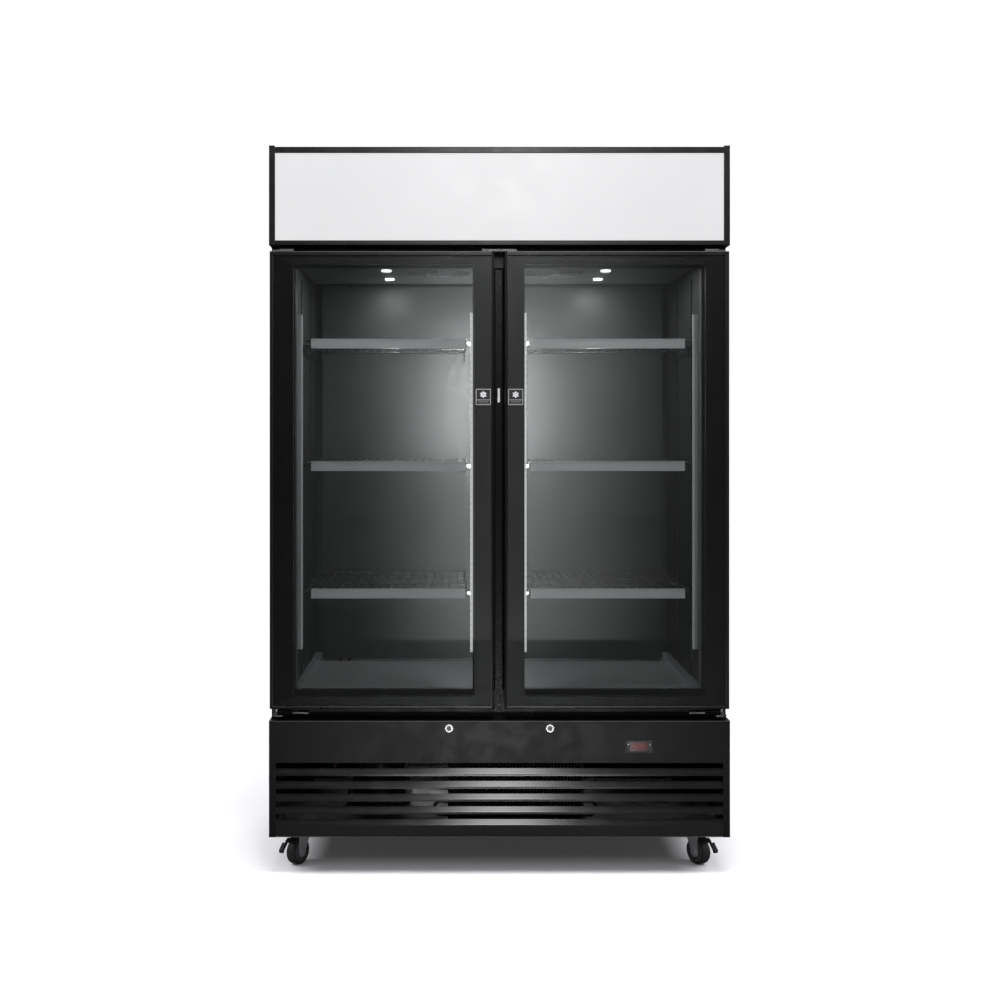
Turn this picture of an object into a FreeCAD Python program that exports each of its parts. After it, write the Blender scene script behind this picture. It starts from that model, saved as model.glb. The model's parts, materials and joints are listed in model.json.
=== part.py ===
"""Two-door upright glass door merchandiser, in millimetres.

The origin is on the floor, under the middle of the whole object.
+Z is up, the doors face -Y and +X is to the right of a person who faces them.
"""
import FreeCAD, Part
import math
import os

Vector = FreeCAD.Vector

# ---- overall size
WIDTH = 1340.0
HEIGHT = 2120.0
FRONT = -382.0          # face of the doors, the base and the sign
BACK = 388.0
SIDE = WIDTH / 2

# ---- levels
BASE_BOTTOM = 110.0     # also the height of a caster
BASE_TOP = 448.0
DOOR_BOTTOM = 482.0
DOOR_TOP = 1813.0
SIGN_BOTTOM = 1830.0    # the cabinet steps back above this level
ROOF = 1990.0
FLOOR = 505.0           # inside
CEILING = 1795.0
SILL = 527.0            # bottom and top of the front opening
LINTEL = 1771.0
CHAMBER_TOP = 1935.0

# ---- depths
DOOR_THICK = 49.0
GASKET_THICK = 12.7
BODY_FRONT = FRONT + 62.0
STEP_BACK = -240.0
LINER_FRONT = BODY_FRONT + 20.0
LINER_BACK = 330.0
CHAMBER_FRONT = -190.0
DUCT = 298.0            # front of the back wall panel

# ---- widths, measured from the middle
INNER_SIDE = 605.0
OPENING = 600.0
MULLION = 76.0

# ---- sheets and gaps
SKIN = 0.8
LINER = 0.6
SHEET = 1.5
RUNNING = 0.05          # radial clearance of a pin in its bore
FREE = 0.3              # gap between faces of bodies that move on each other

# ---- doors
DOOR_INNER = 15.5
HANDLE_WIDE = 7.0
DOOR_OUTER = 668.0
GLASS_THICK = 4.0
GLASS_IN = 24.5
GLASS_OUT = 657.0
GLASS_LOW = DOOR_BOTTOM + 9.0
GLASS_HIGH = DOOR_TOP - 14.0
CLEAR_IN = 73.0
CLEAR_OUT = 600.0
CLEAR_LOW = 517.5
CLEAR_HIGH = 1774.0
FRAME_REAR_DEPTH = 25.0
HINGE_X = 653.0
HINGE_Y = FRONT + DOOR_THICK - FRAME_REAR_DEPTH / 2
HINGE_PIN = 5.0

# ---- shelves
SHELF_TOPS = (1566.0, 1199.0, 817.5)
SHELF_IN = 92.0
SHELF_OUT = 578.0
SHELF_FRONT = -260.0
SHELF_BACK = 280.0
WIRE = 1.75             # radii
ROD = 3.0
RAIL_HIGH = 29.0

# ---- base fittings
LOCK_X = 146.5
LOCK_Z = 427.0
LOCK_TIP = -388.0
FASCIA_LOW = 326.0
LOUVRE_COUNT = 5
LOUVRE_PITCH = 37.1
LOUVRE_BEND = 146.0     # bend of the lowest blade
LOUVRE_LIP = 6.4
LOUVRE_RISE = 14.0      # height and depth of a blade's slope
LOUVRE_DEEP = 10.5
LOUVRE_ROUND = 5.0      # outer radius of the bend
POST = 20.0
THERMOSTAT_X = 405.0
THERMOSTAT_Z = 374.0

# ---- casters
CASTER_X = 583.0
CASTER_FRONT = -251.0
CASTER_REAR = 300.0
CASTER_TRAIL = 28.0
WHEEL = 38.0
WHEEL_WIDE = 29.4
FRONT_TURN = 148.0      # the front casters trail forwards and outwards


# ---------------------------------------------------------------- shapes
def block(x, y, z):
    """A box from three (low, high) pairs."""
    return Part.makeBox(x[1] - x[0], y[1] - y[0], z[1] - z[0], Vector(x[0], y[0], z[0]))


def rod(start, end, radius):
    """A cylinder between two points."""
    way = Vector(*end) - Vector(*start)
    return Part.makeCylinder(radius, way.Length, Vector(*start), way)


def prism(corners, way):
    """A closed outline of 3-D corners pushed along a vector."""
    points = [Vector(*corner) for corner in corners]
    outline = Part.makePolygon(points + [points[0]])
    return Part.Face(outline).extrude(Vector(*way))


def along_x(profile, x):
    """A (Y, Z) profile pushed from x[0] to x[1]."""
    return prism([(x[0], y, z) for y, z in profile], (x[1] - x[0], 0, 0))


def along_y(profile, y):
    """An (X, Z) profile pushed from y[0] to y[1]."""
    return prism([(x, y[0], z) for x, z in profile], (0, y[1] - y[0], 0))


def along_z(profile, z):
    """An (X, Y) profile pushed from z[0] to z[1]."""
    return prism([(x, y, z[0]) for x, y in profile], (0, 0, z[1] - z[0]))


def mirrored(shape):
    """The same piece on the other side of the middle plane."""
    return shape.mirror(Vector(0, 0, 0), Vector(1, 0, 0))


def both_sides(shapes):
    return shapes + [mirrored(shape) for shape in shapes]


def group(shapes):
    """Separate solids kept together as one node."""
    return Part.makeCompound(shapes)


def fused(shapes):
    return shapes[0].multiFuse(shapes[1:]).removeSplitter()


def moved(shape, x=0.0, y=0.0, z=0.0):
    copy = shape.copy()
    copy.translate(Vector(x, y, z))
    return copy


def turned(shape, degrees):
    """A copy turned about the vertical through the origin."""
    copy = shape.copy()
    copy.rotate(Vector(0, 0, 0), Vector(0, 0, 1), degrees)
    return copy


def rounded(shape, radius, chosen):
    """Fillet the edges that the test picks by their bounding box."""
    return shape.makeFillet(radius, [edge for edge in shape.Edges if chosen(edge.BoundBox)])


def mitred_ring(ring, x, z, reach):
    """Cut a rectangular ring in the XZ plane into four pieces with mitred corners."""
    inner_x = (x[0] + reach, x[1] - reach)
    inner_z = (z[0] + reach, z[1] - reach)
    outer = [(x[0], z[0]), (x[1], z[0]), (x[1], z[1]), (x[0], z[1])]
    inner = [(inner_x[0], inner_z[0]), (inner_x[1], inner_z[0]),
             (inner_x[1], inner_z[1]), (inner_x[0], inner_z[1])]
    pieces = []
    for i in range(4):
        j = (i + 1) % 4
        wedge = along_y([outer[i], outer[j], inner[j], inner[i]], (FRONT - 20, BODY_FRONT + 20))
        pieces.append(ring.common(wedge).Solids[0])
    return pieces


def bent_tube(points, radius, bend):
    """A round tube through the points, with every corner rounded to the bend radius."""
    points = [Vector(*point) for point in points]
    edges = []
    last = points[0]
    for before, corner, after in zip(points, points[1:], points[2:]):
        back = (before - corner).normalize()
        ahead = (after - corner).normalize()
        half = back.getAngle(ahead) / 2
        reach = bend / math.tan(half)
        start = corner + back * reach
        end = corner + ahead * reach
        centre = corner + (back + ahead).normalize() * (bend / math.sin(half))
        middle = centre + (corner - centre).normalize() * bend
        edges.append(Part.LineSegment(last, start).toShape())
        edges.append(Part.Arc(start, middle, end).toShape())
        last = end
    edges.append(Part.LineSegment(last, points[-1]).toShape())
    path = Part.Wire(edges)
    ring = Part.Wire(Part.makeCircle(radius, points[0], points[1] - points[0]))
    return path.makePipeShell([ring], True, False)


# ---------------------------------------------------------------- pipes' way through the cabinet
PIPE_X = (-520.0, -490.0)
PIPE_Y = 315.0
PIPE = 5.0


def drilled_for_pipes(shape, z):
    """The sheet or slab with the two holes that the refrigerant pipes go through."""
    for x in PIPE_X:
        shape = shape.cut(rod((x, PIPE_Y, z[0] - 1), (x, PIPE_Y, z[1] + 1), PIPE + 1))
    return shape


# ---------------------------------------------------------------- cabinet shell
def stepped_side(front, back, low, high, step_y, step_z, x):
    """A side sheet whose front steps back to step_y above step_z."""
    profile = [(front, low), (back, low), (back, high), (step_y, high), (step_y, step_z), (front, step_z)]
    return along_x(profile, x)


def cabinet_casing():
    """Outer steel skin: sides, back, roof, riser and step behind the sign, and deck."""
    inside = SIDE - SKIN
    deck_z = (BASE_TOP, BASE_TOP + SKIN)
    side = stepped_side(BODY_FRONT, BACK, BASE_TOP, ROOF, STEP_BACK, SIGN_BOTTOM, (inside, SIDE))
    across = (-inside, inside)
    back = block(across, (BACK - SKIN, BACK), (BASE_TOP, ROOF))
    roof = block(across, (STEP_BACK, BACK - SKIN), (ROOF - SKIN, ROOF))
    riser = block(across, (STEP_BACK, STEP_BACK + SKIN), (SIGN_BOTTOM, ROOF - SKIN))
    step = block(across, (BODY_FRONT, STEP_BACK + SKIN), (SIGN_BOTTOM - SKIN, SIGN_BOTTOM))
    deck = drilled_for_pipes(block(across, (BODY_FRONT, BACK - SKIN), deck_z), deck_z)
    return group(both_sides([side]) + [back, roof, riser, step, deck])


def insulation_foam():
    """Foam slabs between the casing and the liner."""
    out_x = SIDE - SKIN
    in_x = INNER_SIDE + LINER
    low = BASE_TOP + SKIN
    high = ROOF - SKIN
    riser = STEP_BACK + SKIN
    step = SIGN_BOTTOM - SKIN
    back = BACK - SKIN
    liner_back = LINER_BACK + LINER
    liner_low = FLOOR - LINER
    liner_front_top = CEILING + LINER
    liner_top = CHAMBER_TOP + LINER
    chamber = CHAMBER_FRONT - LINER
    across = (-in_x, in_x)
    side = stepped_side(LINER_FRONT, back, low, high, riser, step, (in_x, out_x))
    bottom = drilled_for_pipes(block(across, (LINER_FRONT, back), (low, liner_low)), (low, liner_low))
    rear = block(across, (liner_back, back), (liner_low, high))
    top = block(across, (riser, liner_back), (liner_top, high))
    chamber_wall = block(across, (riser, chamber), (liner_front_top, liner_top))
    header = block(across, (LINER_FRONT, riser), (liner_front_top, step))
    return group(both_sides([side]) + [bottom, rear, top, chamber_wall, header])


def inner_liner():
    """Inner skin of the storage space and of the evaporator chamber above it."""
    out_x = INNER_SIDE + LINER
    across = (-INNER_SIDE, INNER_SIDE)
    floor_z = (FLOOR - LINER, FLOOR)
    side = stepped_side(LINER_FRONT, LINER_BACK + LINER, FLOOR - LINER, CHAMBER_TOP + LINER,
                        CHAMBER_FRONT - LINER, CEILING + LINER, (INNER_SIDE, out_x))
    floor = drilled_for_pipes(block(across, (LINER_FRONT, LINER_BACK + LINER), floor_z), floor_z)
    rear = block(across, (LINER_BACK, LINER_BACK + LINER), (FLOOR, CHAMBER_TOP))
    top = block(across, (CHAMBER_FRONT - LINER, LINER_BACK + LINER), (CHAMBER_TOP, CHAMBER_TOP + LINER))
    wall = block(across, (CHAMBER_FRONT - LINER, CHAMBER_FRONT), (CEILING + LINER, CHAMBER_TOP))
    header = block(across, (LINER_FRONT, CHAMBER_FRONT), (CEILING, CEILING + LINER))
    return group(both_sides([side]) + [floor, rear, top, wall, header])


def hollow_bar(x, y, z, wall, axis):
    """A square-cut tube with open ends along the axis 'x' or 'z'."""
    grow = {"x": (-1, wall, wall), "z": (wall, wall, -1)}[axis]
    inner = [(low + g, high - g) for (low, high), g in zip((x, y, z), grow)]
    return block(x, y, z).cut(block(*inner))


def face_frame():
    """Steel frame that closes the front of the foam, and that the gaskets land on."""
    out_x = SIDE - SKIN
    depth = (BODY_FRONT, LINER_FRONT)
    low = BASE_TOP + SKIN
    high = SIGN_BOTTOM - SKIN
    wall = 2.0
    stile = hollow_bar((OPENING, out_x), depth, (low, high), wall, "z")
    sill = hollow_bar((-OPENING, OPENING), depth, (low, SILL), wall, "x")
    lintel = hollow_bar((-OPENING, OPENING), depth, (LINTEL, high), wall, "x")
    return group(both_sides([stile]) + [sill, lintel])


MULLION_BACK = BODY_FRONT + 58.0
CROSS_PLATE = 131.0     # half lengths
STAY = 51.5


def mullion():
    """Centre post that both doors close on."""
    return hollow_bar((-MULLION, MULLION), (BODY_FRONT, MULLION_BACK), (SILL, LINTEL), 2.0, "z")


def mullion_fittings():
    """Cover strip, foot with its screw and cross plate, lamp switch cover, and the stay above the doors."""
    face = BODY_FRONT
    proud = face - 3
    strip = block((-10, 10), (proud, face), (511, LINTEL - 6))
    foot = block((-8, 8), (proud, face), (480, 511))
    lip = block((-10, 10), (face - 7, face), (509, 511))
    screw = rod((0, face, 488), (0, face - 5, 488), 3.2)
    web = along_y([(-8, 480), (8, 480), (18, 463), (-18, 463)], (proud, face))
    cross = block((-CROSS_PLATE, CROSS_PLATE), (proud, face), (457, 463))
    switch = block((-3, 3), (face - 6, proud), (1375, 1416))
    stay_z = (DOOR_TOP + 0.5, DOOR_TOP + 7.5)
    stay = block((-STAY, STAY), (FRONT + 12, face), stay_z)
    stay = stay.cut(block((-STAY - 1, STAY + 1), (FRONT + 14, face + 1), (stay_z[0] - 1, stay_z[1] - 3)))
    return group([fused([strip, foot, lip, screw, web, cross]), switch, stay])


# ---------------------------------------------------------------- inside the storage space
def rear_duct_panel():
    """Back wall panel with returns at its edges; the air duct is behind it."""
    edge = 582.0
    z = (515.0, 1788.0)
    profile = [(-edge, DUCT), (edge, DUCT), (edge, LINER_BACK), (edge - SHEET, LINER_BACK),
               (edge - SHEET, DUCT + SHEET), (-edge + SHEET, DUCT + SHEET),
               (-edge + SHEET, LINER_BACK), (-edge, LINER_BACK)]
    return along_z(profile, z)


PILASTER_Z = (540.0, 1757.0)
PILASTER_WIDE = 20.0
PILASTER_THICK = 3.0
SIDE_PILASTERS_Y = (-120.0, 130.0)
MULLION_PILASTER_X = 58.0
CENTRE_STRIP = 118.0
CENTRE_SLOT_X = 96.0
SLOT_PITCH = 39.5
SLOT_HIGH = 14.0
SLOT_WIDE = 6.0


def slot_levels():
    """The middle height of each slot in a pilaster."""
    count = int((PILASTER_Z[1] - PILASTER_Z[0]) / SLOT_PITCH) - 1
    return [PILASTER_Z[0] + SLOT_PITCH * (i + 1) for i in range(count)]


def side_pilaster(y):
    inner = INNER_SIDE - PILASTER_THICK
    half = PILASTER_WIDE / 2
    strip = block((inner, INNER_SIDE), (y - half, y + half), PILASTER_Z)
    slot = SLOT_WIDE / 2
    slots = [block((inner - 1, INNER_SIDE + 1), (y - slot, y + slot), (z - SLOT_HIGH / 2, z + SLOT_HIGH / 2))
             for z in slot_levels()]
    return strip.cut(group(slots))


def facing_pilaster(x, y, slot_centres):
    """A strip in the XZ plane, slotted at the given X places."""
    strip = block(x, y, PILASTER_Z)
    half = SLOT_WIDE / 2
    slots = [block((c - half, c + half), (y[0] - 1, y[1] + 1), (z - SLOT_HIGH / 2, z + SLOT_HIGH / 2))
             for c in slot_centres for z in slot_levels()]
    return strip.cut(group(slots))


def shelf_pilasters():
    """Slotted strips: two on each side wall, two behind the mullion, one wide strip on the back wall."""
    behind = (MULLION_BACK, MULLION_BACK + PILASTER_THICK)
    half = PILASTER_WIDE / 2
    sides = [side_pilaster(y) for y in SIDE_PILASTERS_Y]
    centre_x = (MULLION_PILASTER_X - half, MULLION_PILASTER_X + half)
    behind_mullion = facing_pilaster(centre_x, behind, [MULLION_PILASTER_X])
    centre = facing_pilaster((-CENTRE_STRIP, CENTRE_STRIP), (DUCT - 4, DUCT), [-CENTRE_SLOT_X, CENTRE_SLOT_X])
    return group(both_sides(sides + [behind_mullion]) + [centre])


CLIP_TOP = 2 * WIRE + 2 * ROD - 0.5     # below the top of the shelf
CLIP_HIGH = 28.0
CLIP_PLATE = 3.0


def shelf_clips():
    """Four triangular brackets under each shelf: two outer, one behind the mullion, one at the back."""
    wall = INNER_SIDE - PILASTER_THICK
    post = MULLION_BACK + PILASTER_THICK
    strip = DUCT - 4
    clips = []
    for top in SHELF_TOPS:
        high = top - CLIP_TOP
        low = high - CLIP_HIGH
        arm_z = (high - CLIP_PLATE, high)
        for y in SIDE_PILASTERS_Y:
            arm = block((566, wall), (y - 6, y + 6), arm_z)
            web = along_y([(wall, high), (566, high), (wall, low)], (y - 1.5, y + 1.5))
            clips.append(fused([arm, web]))
        arm = block((50, 104), (post, post + 10), arm_z)
        web = along_y([(50, high), (104, high), (50, low)], (post, post + CLIP_PLATE))
        clips.append(fused([arm, web]))
        arm = block((CENTRE_SLOT_X - 6, CENTRE_SLOT_X + 6), (262, strip), arm_z)
        web = along_x([(strip, high), (262, high), (strip, low)], (CENTRE_SLOT_X - 1.5, CENTRE_SLOT_X + 1.5))
        clips.append(fused([arm, web]))
    return group(both_sides(clips))


def wire_shelf():
    """One shelf of the right bay with its top at Z = 0: a rod frame, cross rods and wires."""
    rod_z = -2 * WIRE - ROD + 0.5
    wire_z = -WIRE
    x = (SHELF_IN + ROD, SHELF_OUT - ROD)
    y = (SHELF_FRONT + ROD, SHELF_BACK - ROD)
    count = 20
    rods = [rod((x[0], row, rod_z), (x[1], row, rod_z), ROD)
            for row in (y[0], y[0] + (y[1] - y[0]) / 3, y[0] + (y[1] - y[0]) * 2 / 3, y[1])]
    ends = [rod((side, y[0], rod_z), (side, y[1], rod_z), ROD) for side in x]
    corners = [Part.makeSphere(ROD, Vector(a, b, rod_z)) for a in x for b in y]
    step = (x[1] - x[0]) / (count - 1)
    wires = [rod((x[0] + step * i, y[0] - 1, wire_z), (x[0] + step * i, y[1] + 1, wire_z), WIRE)
             for i in range(count)]
    return fused(rods + ends + corners + wires).Solids[0]


def wire_shelves():
    right = wire_shelf()
    return group(both_sides([moved(right, z=top) for top in SHELF_TOPS]))


def price_rails():
    """Label channels clipped to the front rods of the shelves."""
    back = SHELF_FRONT
    rails = []
    for top in SHELF_TOPS:
        high = top + 1
        low = high - RAIL_HIGH
        profile = [(back, high), (back - 5, high), (back - 5, high - 3), (back - 2, high - 3),
                   (back - 2, low + 3), (back - 5, low + 3), (back - 5, low), (back, low)]
        rails.append(along_x(profile, (98, 560)))
    return group(both_sides(rails))


LAMP_Z = (633.0, 1642.0)
CEILING_LAMP_X = 343.0
CEILING_LAMPS_Y = (-87.0, 132.0)
CEILING_LAMP = 15.5


def interior_lamps():
    """Strip lamps on the side walls and the mullion, and round lamps under the ceiling."""
    wall_lamp = block((INNER_SIDE - 16, INNER_SIDE), (-240, -222), LAMP_Z)
    post_lamp = block((MULLION, MULLION + 8), (-292, -274), LAMP_Z)
    lamps = [wall_lamp, post_lamp]
    for y in CEILING_LAMPS_Y:
        lamps.append(rod((CEILING_LAMP_X, y, CEILING), (CEILING_LAMP_X, y, CEILING - 5), CEILING_LAMP))
    return group(both_sides(lamps))


# ---------------------------------------------------------------- evaporator chamber
FAN_X = 180.0
FAN_Y = 0.0
FAN_HOLE = 105.0
COVER_THICK = 1.5


def fan_guard_gaps(x):
    """The open arcs of a fan guard: rings of openings parted by a cross of four spokes."""
    z = (CEILING - 1, CEILING + COVER_THICK + 1)
    cross = [block((x - FAN_HOLE, x + FAN_HOLE), (FAN_Y - 2, FAN_Y + 2), z),
             block((x - 2, x + 2), (FAN_Y - FAN_HOLE, FAN_Y + FAN_HOLE), z)]
    gaps = []
    for inner in range(15, int(FAN_HOLE), 15):
        ring = rod((x, FAN_Y, z[0]), (x, FAN_Y, z[1]), inner + 12)
        ring = ring.cut(rod((x, FAN_Y, z[0]), (x, FAN_Y, z[1]), inner))
        gaps.append(ring.cut(group(cross)))
    return gaps


def evaporator_cover():
    """Ceiling panel with two guarded fan openings; cold air leaves behind its rear edge."""
    plate = block((-INNER_SIDE, INNER_SIDE), (CHAMBER_FRONT, 275), (CEILING, CEILING + COVER_THICK))
    return plate.cut(group(fan_guard_gaps(-FAN_X) + fan_guard_gaps(FAN_X)))


def finned_block(x, y, z, pitch, spine):
    """A finned coil: a block grooved across, with a solid spine at its back (high Y)."""
    count = int((x[1] - x[0]) / pitch) - 1
    gap = pitch / 2
    grooves = [block((x[0] + pitch * (i + 0.5), x[0] + pitch * (i + 0.5) + gap),
                     (y[0] - 1, y[1] - spine), (z[0] - 1, z[1] + 1)) for i in range(count)]
    return block(x, y, z).cut(group(grooves))


def return_bends(x, way, y, z_levels, radius):
    """U-bends of the coil tube at one end, between pairs of levels."""
    bends = []
    for low, high in zip(z_levels[::2], z_levels[1::2]):
        reach = x + way * (high - low)
        middle = [(x, y, low), (reach, y, low), (reach, y, high), (x, y, high)]
        bends.append(bent_tube(middle, radius, (high - low) * 0.45))
    return bends


def evaporator_coil():
    x = (-450.0, 450.0)
    body = finned_block(x, (110, 220), (1812, 1912), 15.0, 8.0)
    levels = (1825, 1850, 1875, 1900)
    bends = return_bends(x[1], 1, 165, levels, 4.5) + return_bends(x[0], -1, 165, levels, 4.5)
    feet = [block((foot, foot + 3), (120, 210), (CEILING + COVER_THICK, 1812)) for foot in (-440, 437)]
    return group([body] + bends + feet)


MOTOR_LOW = 1850.0


def fan_motors():
    """Evaporator fan motors hung over the ceiling openings, and the condenser fan motor."""
    motors = []
    floor = CEILING + COVER_THICK
    for x in (-FAN_X, FAN_X):
        can = rod((x, FAN_Y, MOTOR_LOW), (x, FAN_Y, MOTOR_LOW + 45), 34)
        shaft = rod((x, FAN_Y, MOTOR_LOW), (x, FAN_Y, 1814), 3)
        bar = block((x - 114, x + 114), (FAN_Y - 12, FAN_Y + 12), (MOTOR_LOW + 42, MOTOR_LOW + 46))
        legs = [block(span, (FAN_Y - 12, FAN_Y + 12), (floor, MOTOR_LOW + 44))
                for span in ((x - 114, x - 110), (x + 110, x + 114))]
        motors.append(fused([can, shaft, bar] + legs))
    return group(motors + [condenser_motor()])


def fan_blades(count, hub, tip, height, turn):
    """A fan about the Z axis: a hub from Z = 0 to height, and twisted blades."""
    bore = 3 + RUNNING
    parts = [rod((0, 0, 0), (0, 0, height), hub)]
    for i in range(count):
        blade = block((hub - 3, tip), (-1, 1), (-height * 0.7, height * 0.7))
        blade.rotate(Vector(0, 0, 0), Vector(1, 0, 0), turn)
        wide = blade.copy()
        wide.translate(Vector(0, 0, height / 2))
        wide.rotate(Vector(0, 0, 0), Vector(0, 0, 1), 360.0 / count * i)
        parts.append(wide)
    fan = fused(parts)
    return fan.cut(rod((0, 0, -5), (0, 0, height + 5), bore)).Solids[0]


def evaporator_fan(x):
    return moved(fan_blades(5, 20, 98, 22, 62), x, FAN_Y, 1818)


# ---------------------------------------------------------------- lit sign
SIGN_LIP = 18.0
SIGN_SILL = 14.3
SIGN_TOP = 2116.0       # the end caps stand slightly higher
PANEL_THICK = 3.0
LIP_THICK = 3.0
RAIL_DEPTH = 22.0


def sign_frame():
    """End caps, and the top and bottom rails that hold the panel."""
    cap_in = SIDE - SIGN_LIP
    cap = block((cap_in, SIDE), (FRONT, STEP_BACK), (SIGN_BOTTOM, HEIGHT))
    pocket = block((cap_in - 1, SIDE - 2), (FRONT + LIP_THICK, STEP_BACK - 2), (SIGN_BOTTOM + 2, HEIGHT - 2))
    cap = rounded(cap.cut(pocket), EDGE, lambda box: box.YMax < FRONT + 0.01)
    rail_back = FRONT + RAIL_DEPTH
    lip = FRONT + LIP_THICK
    inner = SIGN_TOP - SIGN_LIP
    top = [(FRONT, SIGN_TOP - EDGE), (FRONT + EDGE, SIGN_TOP), (rail_back, SIGN_TOP), (rail_back, SIGN_TOP - 3),
           (lip, SIGN_TOP - 3), (lip, inner), (FRONT + EDGE, inner), (FRONT, inner + EDGE)]
    low = SIGN_BOTTOM + SIGN_SILL
    bottom = [(FRONT, low - EDGE), (FRONT + EDGE, low), (lip, low), (lip, SIGN_BOTTOM + 3),
              (rail_back, SIGN_BOTTOM + 3), (rail_back, SIGN_BOTTOM), (FRONT + EDGE, SIGN_BOTTOM),
              (FRONT, SIGN_BOTTOM + EDGE)]
    rails = [along_x(profile, (-cap_in, cap_in)) for profile in (top, bottom)]
    return group(both_sides([cap]) + rails)


def sign_panel():
    """Translucent panel behind the lips of the sign frame."""
    half = SIDE - SIGN_LIP
    lip = FRONT + LIP_THICK
    return block((-half, half), (lip, lip + PANEL_THICK), (SIGN_BOTTOM + 10, SIGN_TOP - 6))


def sign_housing():
    """Top, bottom and back sheets of the sign box."""
    across = (-SIDE + SIGN_LIP, SIDE - SIGN_LIP)
    front = FRONT + RAIL_DEPTH
    top = block(across, (front, STEP_BACK), (SIGN_TOP - SHEET, SIGN_TOP))
    bottom = block(across, (front, STEP_BACK), (SIGN_BOTTOM, SIGN_BOTTOM + SHEET))
    back = block(across, (STEP_BACK - SHEET, STEP_BACK), (SIGN_BOTTOM + SHEET, SIGN_TOP - SHEET))
    return group([top, bottom, back])


def sign_lamp_bars():
    """Two rows of lamps on the back sheet of the sign."""
    back = STEP_BACK - SHEET
    bars = []
    for z in (1915.0, 2030.0):
        profile = [(back, z - 12), (back, z + 12), (back - 8, z + 7), (back - 8, z - 7)]
        bars.append(along_x(profile, (-600, 600)))
    return group(bars)


# ---------------------------------------------------------------- base
PAN_TOP = BASE_BOTTOM + 2.0


def base_pan():
    """Bottom plate with two stiffening rails, and the condensate tray on them."""
    plate = block((-SIDE + SHEET, SIDE - SHEET), (FRONT + SHEET, BACK - SHEET), (BASE_BOTTOM, PAN_TOP))
    rails = [block((-600, 600), (y, y + 30), (PAN_TOP, PAN_TOP + 16)) for y in (205, 325)]
    low = PAN_TOP + 16
    tray = block((-300, 300), (200, 360), (low, low + 40))
    tray = tray.cut(block((-298, 298), (202, 358), (low + 2, low + 41)))
    return group([plate] + rails + [tray])


BASE_SKIRT = 6.0        # depth of the fold along the front of the base top
FOLD = 4.0              # outer radius of the fold


def base_panels():
    """Side panels with folded edges, the top with its front fold, and the slotted rear grille."""
    post = SIDE - POST
    inside = SIDE - SHEET
    profile = [(post, FRONT), (SIDE - EDGE, FRONT), (SIDE, FRONT + EDGE), (SIDE, BACK), (post, BACK),
               (post, BACK - SHEET), (inside, BACK - SHEET), (inside, FRONT + SHEET), (post, FRONT + SHEET)]
    side = along_z(profile, (BASE_BOTTOM, BASE_TOP - BASE_SKIRT))
    top_z = (BASE_TOP - SHEET, BASE_TOP)
    sheet = block((-SIDE, SIDE), (FRONT, BACK), (BASE_TOP - BASE_SKIRT, BASE_TOP))
    hollow = block((-SIDE - 1, SIDE + 1), (FRONT + SHEET, BACK + 1), (BASE_TOP - BASE_SKIRT - 1, top_z[0]))
    top = rounded(sheet.cut(hollow), FOLD, lambda box: box.YMax < FRONT + 0.01 and box.ZMin > BASE_TOP - 0.01)
    return group(both_sides([side]) + [drilled_for_pipes(top, top_z), rear_grille()])


GLAND_X = 490.0
GLAND_Z = 250.0


def rear_grille():
    post = SIDE - POST
    plate = block((-post, post), (BACK - SHEET, BACK), (PAN_TOP, BASE_TOP - BASE_SKIRT))
    slots = []
    for row in (170.0, 290.0):
        for i in range(24):
            x = -430.0 + 30.0 * i
            slots.append(block((x, x + 10), (BACK - 5, BACK + 5), (row, row + 90)))
    hole = rod((GLAND_X, BACK - 5, GLAND_Z), (GLAND_X, BACK + 5, GLAND_Z), 11)
    return plate.cut(group(slots + [hole]))


def control_fascia():
    """Front panel above the grille, with holes for the locks and the thermostat."""
    half = SIDE - POST
    back = FRONT + SHEET
    high = BASE_TOP - BASE_SKIRT
    profile = [(FRONT, FASCIA_LOW), (FRONT, high), (back, high), (back, FASCIA_LOW + SHEET),
               (FRONT + 18, FASCIA_LOW + SHEET), (FRONT + 18, FASCIA_LOW)]
    panel = along_x(profile, (-half, half))
    for x in (-LOCK_X, LOCK_X):
        panel = panel.cut(rod((x, FRONT - 1, LOCK_Z), (x, back + 1, LOCK_Z), 9.6))
    window = block((THERMOSTAT_X - 35.5, THERMOSTAT_X + 35.5), (FRONT - 1, back + 1),
                   (THERMOSTAT_Z - 14.5, THERMOSTAT_Z + 14.5))
    return panel.cut(window)


def louvre_grille():
    """Blades with a vertical lip below the bend and a slope behind it; the lowest lip is the kick strip."""
    half = SIDE - POST
    back = FRONT + SHEET
    blades = []
    for i in range(LOUVRE_COUNT):
        bend = LOUVRE_BEND + LOUVRE_PITCH * i
        low = bend - LOUVRE_LIP if i else PAN_TOP
        deep = FRONT + LOUVRE_DEEP
        top = bend + LOUVRE_RISE
        profile = [(FRONT, low), (FRONT, bend), (deep, top), (deep, top - 2.5), (back, bend - 0.5), (back, low)]
        blades.append(rounded(along_x(profile, (-half, half)), LOUVRE_ROUND,
                              lambda box: box.YMax < FRONT + 0.01 and box.ZMin > bend - 0.01))
    return group(blades)


# ---------------------------------------------------------------- cooling unit in the base
CONDENSER_X = (-150.0, 250.0)
CONDENSER_Y = (-320.0, -265.0)
CONDENSER_Z = (PAN_TOP, 402.0)
BLOWER_X = 50.0
BLOWER_Z = 262.0
SHROUD = -235.0
BLOWER_TIP = 120.0


def condenser_coil():
    body = finned_block(CONDENSER_X, CONDENSER_Y, CONDENSER_Z, 10.0, 6.0)
    levels = (150, 190, 230, 270, 310, 350)
    middle = sum(CONDENSER_Y) / 2
    bends = return_bends(CONDENSER_X[1], 1, middle, levels, 5)
    bends += return_bends(CONDENSER_X[0], -1, middle, levels, 5)
    return group([body] + bends)


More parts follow.
